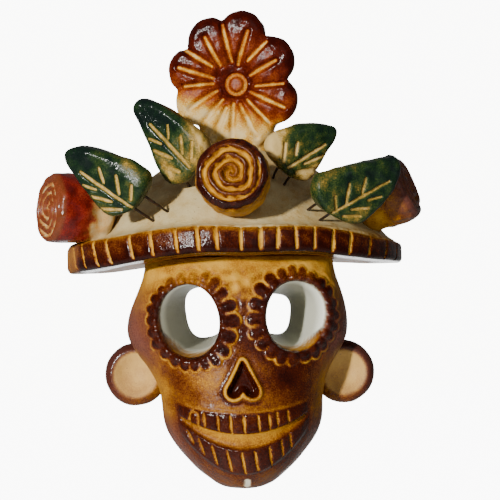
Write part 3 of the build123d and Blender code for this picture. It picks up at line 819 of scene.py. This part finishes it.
def brim_paint(p):
    turn, out, high, half = brim_place(p)
    x, y, _ = p.T
    ragged = 0.5 * waves(p, 3.2, 13) + 0.3 * waves(p, 1.6, 14)
    edge = ramp(out, BRIM_R - 5, BRIM_R - 2.4)
    front = ramp(high - half + 0.9 + 0.35 * ragged, 0.9, -0.6) * edge
    dark = 0.75 + 0.22 * ramp(high, 1, -4.5) + 0.10 * waves(p, 6, 15) + 0.10 * ramp(x, -40, 50)
    # paler, more golden top half of the band left of the middle: partly the glaze's own colour, partly a painted
    # sheen where the key lamp reflects
    dark -= 0.16 * ramp(high, 2.0, 5.0) * stripe(x + 18, 40, 20)
    depth = mix(0.10 + 0.04 * waves(p, 14, 16), dark, front)
    under = ramp(high + half, 1.0, 0.0) * ramp(out, BRIM_R - 1.5, BRIM_R - 3.5)
    depth = mix(depth, mix(0.32, 0.80, ramp(out, BRIM_R - 17, BRIM_R - 9)), under)
    depth = mix(depth, 0.40, 0.55 * stripe(high - half + 1.2, 1.1, 0.2) * edge)
    left_end = ramp(x, -74, -79)
    depth = mix(depth, 0.15, 0.8 * left_end)
    groove = 0.05 + 0.09 * waves(p, 3, 17) + 0.14 * ramp(x, 40, 70)
    depth = mix(depth, groove, ramp(notch_marks(turn, high, half) * edge, 0.12, 0.5))
    rear = ramp(y, -1.6, -0.4)
    return coat(mix(depth, 0.12, rear), 0.5 * left_end * edge, 0.8 * rear)


def crown_block(p):
    """Height over the crown's plain dome."""
    x, y, z = p.T
    top = CROWN_FOOT + CROWN_H * (1 - (x**2 + (y - CROWN_Y) ** 2) / CROWN_R**2)
    return z - top


def outside_crown(p, gap):
    """A field that keeps a piece out of the crown, with a small gap."""
    return -(true_scale(crown_block, p) + gap)


def crown_field(p):
    _, out, high, half = brim_place(p)
    dome = true_scale(crown_block, p) - 0.25 * waves(p, 16, 31)
    foot = smax(high - half - 0.25, out - BRIM_R + 3.0, 2.0)
    d = smin(dome, foot, 5.0)
    d = smax(d, half - 2.0 - high, 0.6)
    d = smax(d, out - BRIM_R + 2.4, 1.5)
    return smax(d, p[:, 1], 1.2)


def crown_paint(p):
    x, y, z = p.T
    out = brim_place(p)[1]
    depth = 0.05 + 0.04 * waves(p, 18, 33) + 0.03 * waves(p, 6, 34)
    depth += 0.22 * ramp(out, BRIM_R - 6, BRIM_R - 3) * clip01(0.6 + 0.5 * waves(p, 3, 35))
    depth += 0.10 * spot(x, z, 0, 50, 25, 8)
    rear = ramp(y, -1.8, -0.4)
    return coat(mix(depth, 0.12, rear), bare=0.8 * rear)


# ---------------------------------------------------------------- flower

FLOWER_C, FLOWER_TURN, FLOWER_NOD = (0.8, -20.0, 95.6), math.radians(13), math.radians(11)
PETAL_ANGLES = (78, 118, 162, 203, 247, 290, 332, 26)
PETAL_REACH = (22.6, 22.8, 22.6, 20.6, 20.4, 20.8, 21.2, 20.4)
PETAL_R, FLOWER_CORE_R, FLOWER_HALF = 11.0, 21.5, 5.5
RING_U, RING_V, RING_R = 0.6, -1.2, 4.6  # the ring carved round the flower's middle
FOOT_C, FOOT_R = np.array((0.8, -13, 66)), np.array((17, 8, 10))
# strokes carved in the face: turn at the inner and outer end in degrees, distance out at each, half width
STROKES = (
    (127, 120, 10.7, 25.5, 1.15), (94, 98, 10.0, 27.5, 1.25), (75, 70, 8.6, 24.8, 1.25),
    (52, 46, 12.0, 24.6, 0.95), (18, 22, 8.4, 22.8, 1.2), (345, 354, 10.8, 24.1, 0.8),
    (325, 330, 9.4, 27.8, 1.2), (304, 308, 10.8, 26.0, 0.9), (282, 290, 11.0, 28.7, 1.2),
    (265, 265, 10.4, 26.4, 0.9), (250, 246, 13.0, 28.2, 1.15), (233, 229, 10.1, 25.1, 1.0),
    (203, 207, 9.5, 25.2, 1.2), (180, 181, 10.5, 24.6, 0.8), (166, 162, 10.9, 28.2, 1.3),
    (142, 144, 13.5, 30.0, 1.2),
)


def axes(look):
    """Right, up and outward directions of a face that looks along look."""
    look = np.array(look, float) / np.linalg.norm(look)
    right = np.cross(np.array((0, 0, 1), float), look)
    right /= np.linalg.norm(right)
    return right, np.cross(look, right), look


def face_place(p, middle, look):
    """Right, up and out of a face with the given middle and direction."""
    q = p - np.array(middle)
    right, up, out = axes(look)
    return q @ right, q @ up, q @ out


def flower_place(p):
    look = (-math.sin(FLOWER_TURN), -math.cos(FLOWER_TURN), -math.sin(FLOWER_NOD))
    return face_place(p, FLOWER_C, look)


def polar(degrees, reach):
    angle = math.radians(degrees)
    return reach * math.cos(angle), reach * math.sin(angle)


def flower_shape(u, v):
    """Distance to the flower's outline, and distance from the nearest petal's middle."""
    outline = np.hypot(u, v) - FLOWER_CORE_R
    best = np.full(len(u), 1e9)
    for angle, reach in zip(PETAL_ANGLES, PETAL_REACH):
        across, up = polar(angle, reach)
        d = np.hypot(u - across, v - up)
        outline = smin(outline, d - PETAL_R, 2.6)
        best = np.minimum(best, d)
    return outline, best


def flower_strokes(u, v, soft):
    """Depth of the carved strokes and of the ring round the middle, 0 to 1."""
    marks = np.zeros(len(u))
    for start, end, inner, outer, wide in STROKES:
        d, t = segment_2d(u, v, polar(start, inner), polar(end, outer))
        marks = np.maximum(marks, ramp(d, wide * swell(t, 0.35, 0.12, 0.72) + soft, 0.0))
    ring = stripe(np.hypot(u - RING_U, v - RING_V) - RING_R, 1.2 + 0.4 * soft, 0.3)
    return np.maximum(marks, 0.9 * ring)


def flower_field(p):
    u, v, w = flower_place(p)
    outline, near = flower_shape(u, v)
    dome = 2.4 * np.sqrt(clip01(1 - (near / 13.5) ** 2)) - 0.9 * ramp(np.hypot(u, v), 15, 4)
    d = rounded_slab(outline, w - 0.4 * dome * (w > 0), FLOWER_HALF, 4.0)
    d -= 0.8 * dome * ramp(w, 1, 5)
    d += 1.7 * flower_strokes(u, v, 1.5) * ramp(w, 1.0, 4)
    foot = (np.sqrt((((p - FOOT_C) / FOOT_R) ** 2).sum(1)) - 1) * FOOT_R[1]
    d = smin(d, foot, 4.0)
    return smax(d - 0.16 * waves(p, 6, 41), outside_crown(p, 0.3), 0.5)


def flower_paint(p):
    u, v, w = flower_place(p)
    out = np.hypot(u, v)
    lean = v + 0.35 * u
    sweep = ramp(lean, -21, -6)
    depth = mix(0.06, 0.66, sweep) + 0.08 * waves(p, 6, 43)
    depth += 0.30 * ramp(out, 20, 30) * ramp(lean, -6, 6) + 0.16 * ramp(out, 15, 7) * ramp(v, -13, -4)
    depth += 0.10 * spot(u, v, 22, 8, 9, 12)
    rim = ramp(w, 2.2, -1.0) * (0.35 + 0.65 * ramp(u, -15, 5))
    depth = mix(depth, 0.10 + 0.22 * sweep * ramp(u, 5, -20), rim)
    marks = flower_strokes(u, v, 0.9) * ramp(w, 0.5, 2.5)
    groove = 0.03 + (0.17 - 0.08 * ramp(out, 12, 20)) * sweep + 0.07 * waves(p, 4, 44)
    depth = mix(depth, groove, ramp(marks, 0.15, 0.95))
    from_middle = np.hypot(u - RING_U, v - RING_V)
    depth = mix(depth, 0.54, ramp(from_middle, 4.2, 3.0) * ramp(w, 1, 3))
    depth = mix(depth, 0.30, stripe(from_middle - RING_R, 1.25, 0.5) * ramp(w, 1, 3))
    rear = ramp(w, -3.5, -5)
    return coat(mix(depth, 0.10, rear), bare=0.3 * rear)


# ---------------------------------------------------------------- roses

# Each rose: the middle of its face, the way it looks, its size, its spiral, and the depth of its glaze on the
# body from front to back, the rim, the ridges and the grooves. brown and blush are how far the face and the
# front of the body take the tint.
ROSES = {
    "rose_center": dict(
        face=(-3.4, -84.0, 41.8), looks=(-0.10, -1.0, 0.10), radius=14.6, length=30.0, neck=1.0,
        pitch=4.3, turn=1.0, hand=1, body=(0.30, 0.12, 0.10), rim=0.90, ridge=0.70, groove=0.16,
        brown=0, blush=0,
    ),
    "rose_left": dict(
        face=(-88.6, -39.0, 33.4), looks=(-0.84, -0.54, 0.04), radius=15.8, length=30.0, neck=7.0,
        pitch=3.9, turn=2.0, hand=-1, body=(0.74, 0.60, 0.08), rim=0.66, ridge=0.62, groove=0.14,
        brown=1, blush=0,
    ),
    "rose_right": dict(
        face=(81.2, -35.0, 41.4), looks=(0.84, -0.40, 0.32), radius=14.8, length=28.0, neck=9.0,
        pitch=4.4, turn=0.4, hand=1, body=(0.46, 0.36, 0.10), rim=0.72, ridge=0.66, groove=0.42,
        brown=0.8, blush=0.5,
    ),
}
FULL_TURN = 6.283


def rose_spiral(u, v, spec):
    """How far up the rolled strip's side a point is, 0 in the groove and 1 on the ridge, and the distance out."""
    out = np.hypot(u, v)
    turn = np.arctan2(v, u) * spec["hand"] / (2 * math.pi)
    wobble = 0.10 * np.sin(3 * turn * FULL_TURN + spec["turn"])
    wobble = wobble + 0.07 * np.sin(5 * turn * FULL_TURN + 2 * spec["turn"])
    phase = out / spec["pitch"] - turn + wobble * ramp(out, 2, 7)
    return 0.5 - 0.5 * np.cos(2 * math.pi * (phase - np.floor(phase))), out


def rose_radius(spec):
    """The rose's radius along its axis, from the buried neck to the face."""
    r, length = spec["radius"], spec["length"]
    tail = 1.3 if spec["neck"] > 5 else 1.0
    ends = (-length - spec["neck"] - 2, -length, -length + 2.5)
    along = ends + (-0.72 * length, -0.45 * length, -0.18 * length, -2.0, 0.0)
    return spline(along, [s * r for s in (0.42, 0.50 * tail, 0.70 * tail, 0.99, 1.07, 1.07, 1.02, 0.95)])


def rose_field(name, seed):
    spec = ROSES[name]
    radius = rose_radius(spec)
    end = spec["length"] + spec["neck"] + 1.5

    def field(p):
        u, v, w = face_place(p, spec["face"], spec["looks"])
        crest, out = rose_spiral(u, v, spec)
        lump = 0.25 * waves(p, 7, seed) + 0.12 * waves(p, 3.5, seed + 1)
        side = (out - radius(w) - lump) * 0.93
        inner = ramp(out, spec["radius"], spec["radius"] * 0.80)
        height = mix(0.0, 2.2 * crest**0.8 - 1.6, inner) - 1.2 * ramp(out, 5.5, 1.0)
        d = smax(side, w - height, 2.0)
        d = smax(d, -end - w, 1.0)
        d = smax(d, outside_crown(p, 0.3), 0.6)
        _, _, high, half = brim_place(p)
        return smax(d, half - 0.2 - high, 0.6)

    return field


def rose_paint(name, seed):
    spec = ROSES[name]
    near, middle, far = spec["body"]

    def paint(p):
        u, v, w = face_place(p, spec["face"], spec["looks"])
        crest, out = rose_spiral(u, v, spec)
        share = clip01(-w / spec["length"])
        front = mix(near, middle, ramp(share, 0.2, 0.45))
        back = mix(middle, far, ramp(share + 0.05 * waves(p, 4, seed + 8), 0.44, 0.66))
        body = np.where(share < 0.45, front, back) + 0.06 * waves(p, 6, seed + 3)
        face = ramp(w, -3.2, -1.2) * ramp(out, spec["radius"] * 1.04, spec["radius"] * 0.97)
        ridge = ramp(crest + 0.22 * waves(p, 3, seed + 4), 0.30, 0.72)
        petal = mix(spec["groove"] + 0.12 * waves(p, 5, seed + 6), spec["ridge"], ridge)
        petal = mix(petal, spec["groove"] + 0.16, ramp(out, 6.5, 2.5) * 0.5)
        outer = stripe(out - spec["radius"] * 0.98, 2.3, 1.1) * ramp(w, -3.6, -1.8)
        rim = spec["rim"] + 0.10 * ramp(v, 4, -9) + 0.10 * waves(p, 3, seed + 5)
        depth = mix(mix(body, petal, face), rim, outer)
        brown = 0.9 * spec["brown"] * np.maximum(face * ramp(crest, 0.2, 0.5), outer)
        blush = spec["blush"] * ramp(share + 0.04 * waves(p, 7, seed + 9), 0.34, 0.20) * (1 - face)
        return coat(depth, np.maximum(brown, blush))

    return paint


# ---------------------------------------------------------------- leaves

LEAF_HALF, LEAF_ROLL = 4.5, math.radians(26)
WIRE_R, WIRE_HALF_GAP, BURIED, CROWN_WALL = 0.6, 3.8, 8.0, 5.5
# Each leaf's outline and carved strokes are in millimetres along its blade and across it. A stroke ends with
# half its width. bevel is how far across the face begins to fall away to the upper edge. green and groove are
# the glaze's depth. Each of its fades is along, across, reach along, reach across and strength.
LEAVES = {
    "leaf_lower_left": dict(
        side=-1, root=(-36.0, -54.0, 27.5), base=(-43.8, -63.0, 32.5), tip=(-75.5, -60.0, 57.6), bevel=6.5,
        outline=(
            (-0.3, 6.0), (1.0, 11.0), (4.5, 13.6), (12.0, 13.2), (24.0, 9.6), (33.0, 6.0), (37.0, 2.8),
            (38.8, -1.0), (36.8, -4.0), (32.4, -6.6), (25.2, -8.8), (17.0, -11.6), (11.0, -13.0), (6.5, -11.8),
            (2.5, -7.5), (0.0, -2.0),
        ),
        strokes=(
            (1.0, -2.6, 28.3, -3.6, 1.25), (22.0, 3.2, 16.9, -1.0, 1.15), (13.8, 5.1, 8.4, -0.8, 1.3),
            (5.6, 5.9, 2.6, 0.2, 1.25), (24.6, -8.0, 18.4, -5.9, 1.0), (18.4, -9.9, 9.4, -5.9, 1.2),
            (12.2, -12.0, 3.9, -6.2, 1.2),
        ),
        green=0.80, groove=0.10, fades=((12, 12, 9, 2.6, 0.40), (2, 8, 5, 7, 0.22), (8, -11, 9, 3, 0.25)),
    ),
    "leaf_upper_left": dict(
        side=-1, root=(-19.0, -45.0, 43.0), base=(-22.4, -53.0, 47.0), tip=(-44.0, -50.0, 80.5), bevel=11.0,
        outline=(
            (-2.0, 5.0), (-0.6, 10.0), (2.6, 14.4), (8.0, 15.8), (20.6, 12.2), (31.0, 8.0), (38.3, 2.8),
            (39.5, -1.0), (37.2, -4.0), (31.0, -5.4), (23.0, -6.8), (15.0, -9.0), (7.2, -10.6), (1.0, -9.4),
            (-2.6, -4.0),
        ),
        strokes=(
            (0.5, 3.4, 27.0, -0.6, 1.4), (21.5, 6.2, 16.6, 2.6, 0.95), (13.6, 8.4, 7.0, 4.2, 1.3),
            (8.0, 11.2, 1.6, 5.4, 1.2), (22.2, -5.0, 16.8, -1.6, 1.1), (16.6, -6.4, 8.6, -1.2, 1.4),
            (8.6, -6.8, 1.6, -2.0, 1.6),
        ),
        green=0.84, groove=0.16, fades=((6, -6, 11, 3.6, 0.65), (2, 8, 9, 9, 0.62), (12, 15, 14, 3, 0.62)),
    ),
    "leaf_upper_right": dict(
        side=1, root=(18.5, -45.0, 43.0), base=(21.0, -53.0, 47.0), tip=(44.2, -50.0, 66.5), bevel=8.5,
        outline=(
            (-1.4, 6.0), (-1.6, 12.0), (1.0, 15.6), (5.0, 16.4), (16.7, 12.0), (25.5, 6.0), (29.6, 0.4),
            (28.0, -3.0), (22.0, -5.6), (15.0, -8.2), (9.0, -10.0), (4.0, -9.0), (-0.4, -2.0),
        ),
        strokes=(
            (1.0, 0.9, 21.4, -2.2, 1.2), (6.4, 10.6, 0.6, 4.6, 1.2), (11.0, 7.2, 7.2, 3.4, 1.3),
            (17.4, -5.6, 8.0, -2.6, 1.0), (11.0, -8.4, 3.0, -3.6, 1.8),
        ),
        green=0.66, groove=0.06, fades=((0, 14, 6, 9, 0.80), (6, -8, 11, 4.5, 0.52), (8, 15, 7, 3, 0.4)),
    ),
    "leaf_lower_right": dict(
        side=1, root=(33.7, -56.0, 26.0), base=(38.0, -64.5, 28.5), tip=(71.0, -60.0, 50.0), bevel=6.0,
        outline=(
            (-2.6, 4.2), (-1.8, 9.5), (1.6, 13.6), (7.0, 13.4), (26.3, 6.6), (34.7, 3.2), (38.0, 2.2),
            (38.0, -3.2), (31.2, -10.2), (20.0, -13.8), (12.0, -15.0), (7.0, -13.2), (3.0, -8.4), (-1.2, -1.0),
        ),
        strokes=(
            (0.5, -2.6, 30.0, -5.3, 1.05), (4.8, 3.6, 2.4, -2.4, 0.95), (13.2, 4.4, 7.8, -2.4, 1.15),
            (21.0, 2.4, 16.4, -2.8, 1.0), (23.6, -9.4, 17.2, -7.0, 0.8), (16.0, -10.4, 8.4, -6.2, 0.9),
            (10.8, -11.4, 3.8, -6.8, 1.0),
        ),
        green=0.72, groove=0.17, fades=((6, 12, 14, 2.4, 0.26), (8, -11, 9, 3, 0.34), (1, 2, 3, 9, 0.2)),
    ),
}


def leaf_axes(spec):
    """Base, directions along the blade, towards its upper edge and out of its face, and the blade's length."""
    base, tip = np.array(spec["base"]), np.array(spec["tip"])
    along = (tip - base) / np.linalg.norm(tip - base)
    front = np.array((0.0, -1.0, 0.0))
    front -= along * (front @ along)
    front /= np.linalg.norm(front)
    up = np.cross(front, along) * spec["side"]
    upper = up * math.cos(LEAF_ROLL) + front * math.sin(LEAF_ROLL)
    out = front * math.cos(LEAF_ROLL) - up * math.sin(LEAF_ROLL)
    return base, along, upper, out, np.linalg.norm(tip - base)


def leaf_place(p, spec):
    """Place along, across and out of a blade, and the blade's length."""
    base, along, upper, out, length = leaf_axes(spec)
    q = p - base
    return q @ along, q @ upper, q @ out, length


def leaf_marks(s, t, spec):
    """Depth of the carved midrib and veins, 0 to 1."""
    marks = np.zeros(len(s))
    for x0, y0, x1, y1, wide in spec["strokes"]:
        d, along = segment_2d(s, t, (x0, y0), (x1, y1))
        half = wide * swell(along, 0.5, 0.15, 0.7)
        marks = np.maximum(marks, ramp(d, half + 0.3, half * 0.2))
    return marks


def leaf_field(name, seed):
    spec = LEAVES[name]
    corners = smooth_loop(spec["outline"], 3)

    def field(p):
        s, t, w, _ = leaf_place(p, spec)
        over = np.maximum(t - spec["bevel"], 0)
        fold = 0.5 * over * over / (over + 1.5) * ramp(w, -1, 1)
        d = rounded_slab(polygon_2d(s, t, corners) - 0.4, w + 0.6 * fold, LEAF_HALF, 3.0)
        d += 1.0 * leaf_marks(s, t, spec) * ramp(w, 1, 3)
        return d - 0.18 * waves(p, 7, seed)

    return field


def leaf_paint(name, seed):
    spec = LEAVES[name]

    def paint(p):
        s, t, w, length = leaf_place(p, spec)
        depth = spec["green"] + 0.10 * waves(p, 8, seed + 2) + 0.06 * waves(p, 3, seed + 3)
        depth += 0.16 * ramp(s / length, 0.5, 0.95)
        for *where, strength in spec["fades"]:
            depth -= strength * spot(s, t, *where)
        depth = mix(depth, 0.36, 0.7 * ramp(w, 0.0, -3.0))
        marks = leaf_marks(s, t, spec) * ramp(w, 0.5, 2)
        return coat(mix(depth, spec["groove"] + 0.05 * waves(p, 4, seed + 4), ramp(marks, 0.08, 0.9)))

    return paint


# ---------------------------------------------------------------- wires


def wire_path(spec, sign, steps=26):
    """Centre line of one wire, from inside the crown to inside the blade."""
    base, along, upper, _, _ = leaf_axes(spec)
    root = np.array(spec["root"])
    knee = base - along * 3.0
    inward = (root - knee) / np.linalg.norm(root - knee)
    start = root + inward * (CROWN_WALL + 1.5)
    end = base + along * BURIED
    t = np.linspace(0, 1, steps)[:, None]
    line = (1 - t) ** 3 * start + 3 * (1 - t) ** 2 * t * mix(start, knee, 0.75)
    line = line + 3 * (1 - t) * t**2 * mix(end, knee, 0.75) + t**3 * end
    return line + upper * sign * WIRE_HALF_GAP


def tube(path, radius, sides=10):
    """Vertices and quads of a round wire. Its ends are open, and buried in the clay."""
    heading = np.gradient(path, axis=0)
    heading /= np.linalg.norm(heading, axis=1)[:, None]
    side = np.cross(heading, (0.3, 0.2, 1.0))
    side /= np.linalg.norm(side, axis=1)[:, None]
    other = np.cross(heading, side)
    around = (np.arange(sides) * 2 * math.pi / sides)[None, :, None]
    rings = path[:, None] + radius * (side[:, None] * np.cos(around) + other[:, None] * np.sin(around))
    quads = []
    for i in range(len(path) - 1):
        for j in range(sides):
            k = (j + 1) % sides
            quads.append((i * sides + j, i * sides + k, (i + 1) * sides + k, (i + 1) * sides + j))
    return rings.reshape(-1, 3), np.array(quads)


def make_wires(name, material):
    """A leaf's two wires. They bend between the crown and the leaf's base."""
    spec = LEAVES[name]
    base, along = leaf_axes(spec)[:2]
    verts, quads, count = [], [], 0
    for sign in (-1, 1):
        v, q = tube(wire_path(spec, sign), WIRE_R)
        verts.append(v)
        quads.append(q + count)
        count += len(v)
    wires = mesh_object(name + "_wires_look", np.concatenate(verts), np.concatenate(quads), {})
    wires.data.materials.append(material)
    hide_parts(name + "_wires")
    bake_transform(wires)


# ---------------------------------------------------------------- stage

SENSOR, LENS, CAMERA_SEES = 36, 65.4545, 50  # the sensor and lens in mm, the furthest thing seen in m
CAMERA_MM = (-5.7, -460, -15)
FOCAL = 400 / 0.44  # the lens in pixels of the photograph: 400 mm from the face, where a pixel is 0.44 mm
AIM_RIGHT, AIM_UP, CAMERA_ROLL = 23, 58, math.radians(-1.4)  # the aim, in pixels from straight ahead
LIT_AT = (0, -0.03, 0.01)
FLOOR_SIZE, FLOOR_Z = 12, -0.6
WHITE, SEEN_WHITE, SKY_LIGHT = (1, 1, 0.995, 1), 10, 0.17
# each light's place, size in metres, power in watts and colour
LIGHTS = {
    "key": ((-0.63, -1.16, 0.15), 0.085, 33, (1.0, 0.985, 0.95)),
    "soft": ((0.4, -1.3, 0.35), 0.8, 1.5, (1, 1, 1)),
    "rear": ((0.1, 1.7, -0.1), 1.0, 8, (1, 1, 1)),
}


def look_at(obj, target, roll=0.0):
    turn = (Vector(target) - obj.location).to_track_quat("-Z", "Y")
    obj.rotation_mode = "QUATERNION"
    obj.rotation_quaternion = turn @ Quaternion((0, 0, 1), roll)


def add_camera():
    data = bpy.data.cameras.new("camera")
    data.sensor_width = SENSOR
    data.lens = LENS
    data.clip_end = CAMERA_SEES
    camera = bpy.data.objects.new("camera", data)
    bpy.context.scene.collection.objects.link(camera)
    camera.location = Vector(CAMERA_MM) * MM
    yaw, pitch = math.atan(AIM_RIGHT / FOCAL), math.atan(AIM_UP / FOCAL)
    way = Vector((math.sin(yaw) * math.cos(pitch), math.cos(yaw) * math.cos(pitch), math.sin(pitch)))
    look_at(camera, camera.location + way, CAMERA_ROLL)
    bpy.context.scene.camera = camera


def add_light(name, place, size, power, colour):
    data = bpy.data.lights.new(name, "AREA")
    data.shape = "DISK"
    data.size = size
    data.energy = power
    data.color = colour
    light = bpy.data.objects.new(name, data)
    bpy.context.scene.collection.objects.link(light)
    light.location = place
    look_at(light, LIT_AT)


def add_floor():
    """White where the camera looks at it, and lit as a plain pale surface for everything else."""
    bpy.ops.mesh.primitive_plane_add(size=FLOOR_SIZE, location=(0, 0, FLOOR_Z))
    floor = bpy.context.object
    floor.name = "floor"
    n = Nodes("floor_paper")
    paper = ((0.3, shade(0.80, 0.80, 0.78)), (0.7, shade(0.85, 0.85, 0.83)))
    n.link(n.ramp(n.noise(400, 2.0), paper), "Base Color")
    n.shader.inputs["Roughness"].default_value = 0.9
    seen = n.add("ShaderNodeLightPath").outputs["Is Camera Ray"]
    glow = n.add("ShaderNodeEmission", {"Color": WHITE, "Strength": SEEN_WHITE}).outputs[0]
    both = n.add("ShaderNodeMixShader", {0: seen, 1: n.shader.outputs[0], 2: glow}).outputs[0]
    n.tree.links.new(both, n.tree.nodes["Material Output"].inputs["Surface"])
    floor.data.materials.append(n.material)


def add_sky():
    """Bright where the camera looks at it, and a weak light for everything else."""
    world = bpy.data.worlds.new("studio")
    world.use_nodes = True
    tree = world.node_tree
    sky = tree.nodes["Background"]
    sky.inputs["Color"].default_value = (1, 1, 0.97, 1)
    seen = tree.nodes.new("ShaderNodeLightPath").outputs["Is Camera Ray"]
    bright = tree.nodes.new("ShaderNodeMapRange")
    bright.inputs["To Min"].default_value = SKY_LIGHT
    bright.inputs["To Max"].default_value = SEEN_WHITE
    tree.links.new(seen, bright.inputs["Value"])
    tree.links.new(bright.outputs["Result"], sky.inputs["Strength"])
    bpy.context.scene.world = world


# ---------------------------------------------------------------- all of it

add_camera()
add_floor()
add_sky()
for name, settings in LIGHTS.items():
    add_light(name, *settings)

brown = glaze("brown_glaze_look", BROWN_STOPS, shine=0.19)
band = glaze("brim_glaze_look", BROWN_STOPS, speckle=0.42, shine=0.12)
cream = glaze("cream_glaze_look", HAT_STOPS, speckle=0.25)
red = glaze("red_glaze_look", RED_STOPS, shine=0.10)
crimson = glaze("crimson_glaze_look", CRIMSON_STOPS, tint=ROSE_BROWN, speckle=0.22)
green = glaze("green_glaze_look", GREEN_STOPS, shine=0.17)
wire = iron("iron_wire_look")

for node in ("flower_pins", "rose_center_pins", "rose_left_pins", "rose_right_pins"):
    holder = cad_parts[node]
    holder.data.materials.clear()
    holder.data.materials.append(wire)

# name, CAD node, slot, field, paint, box, cell and material of each clay piece on the mask
PIECES = [("skull_look", "skull", "brown_glaze", skull_field, skull_paint, node_box("skull"), 0.8, brown)]
for node, sign in (("ear_left", -1), ("ear_right", 1)):
    look = ear_field(sign), ear_paint(sign), node_box(node), 0.7, brown
    PIECES.append((node + "_look", node, "brown_glaze", *look))
PIECES += [
    ("brim_look", "hat_brim", "brim_glaze", brim_field, brim_paint, node_box("hat_brim"), 0.8, band),
    ("crown_look", "hat_crown", "cream_glaze", crown_field, crown_paint, node_box("hat_crown", 4), 1.0, cream),
    ("flower_look", "flower", "red_glaze", flower_field, flower_paint, node_box("flower", 5), 0.6, red),
]
for seed, node, material in ((50, "rose_center", brown), (60, "rose_left", crimson), (70, "rose_right", brown)):
    look = rose_field(node, seed), rose_paint(node, seed), node_box(node, 11), 0.55, material
    PIECES.append((node + "_look", node, "rose_glaze", *look))
for name, node, slot, *look in PIECES:
    make_piece(name, node, "mask", slot, *look)
for seed, node in enumerate(LEAVES):
    look = leaf_field(node, 80 + seed), leaf_paint(node, 90 + seed), node_box(node, 4), 0.5, green
    make_piece(node + "_look", node, node, "green_glaze", *look)
    make_wires(node, wire)
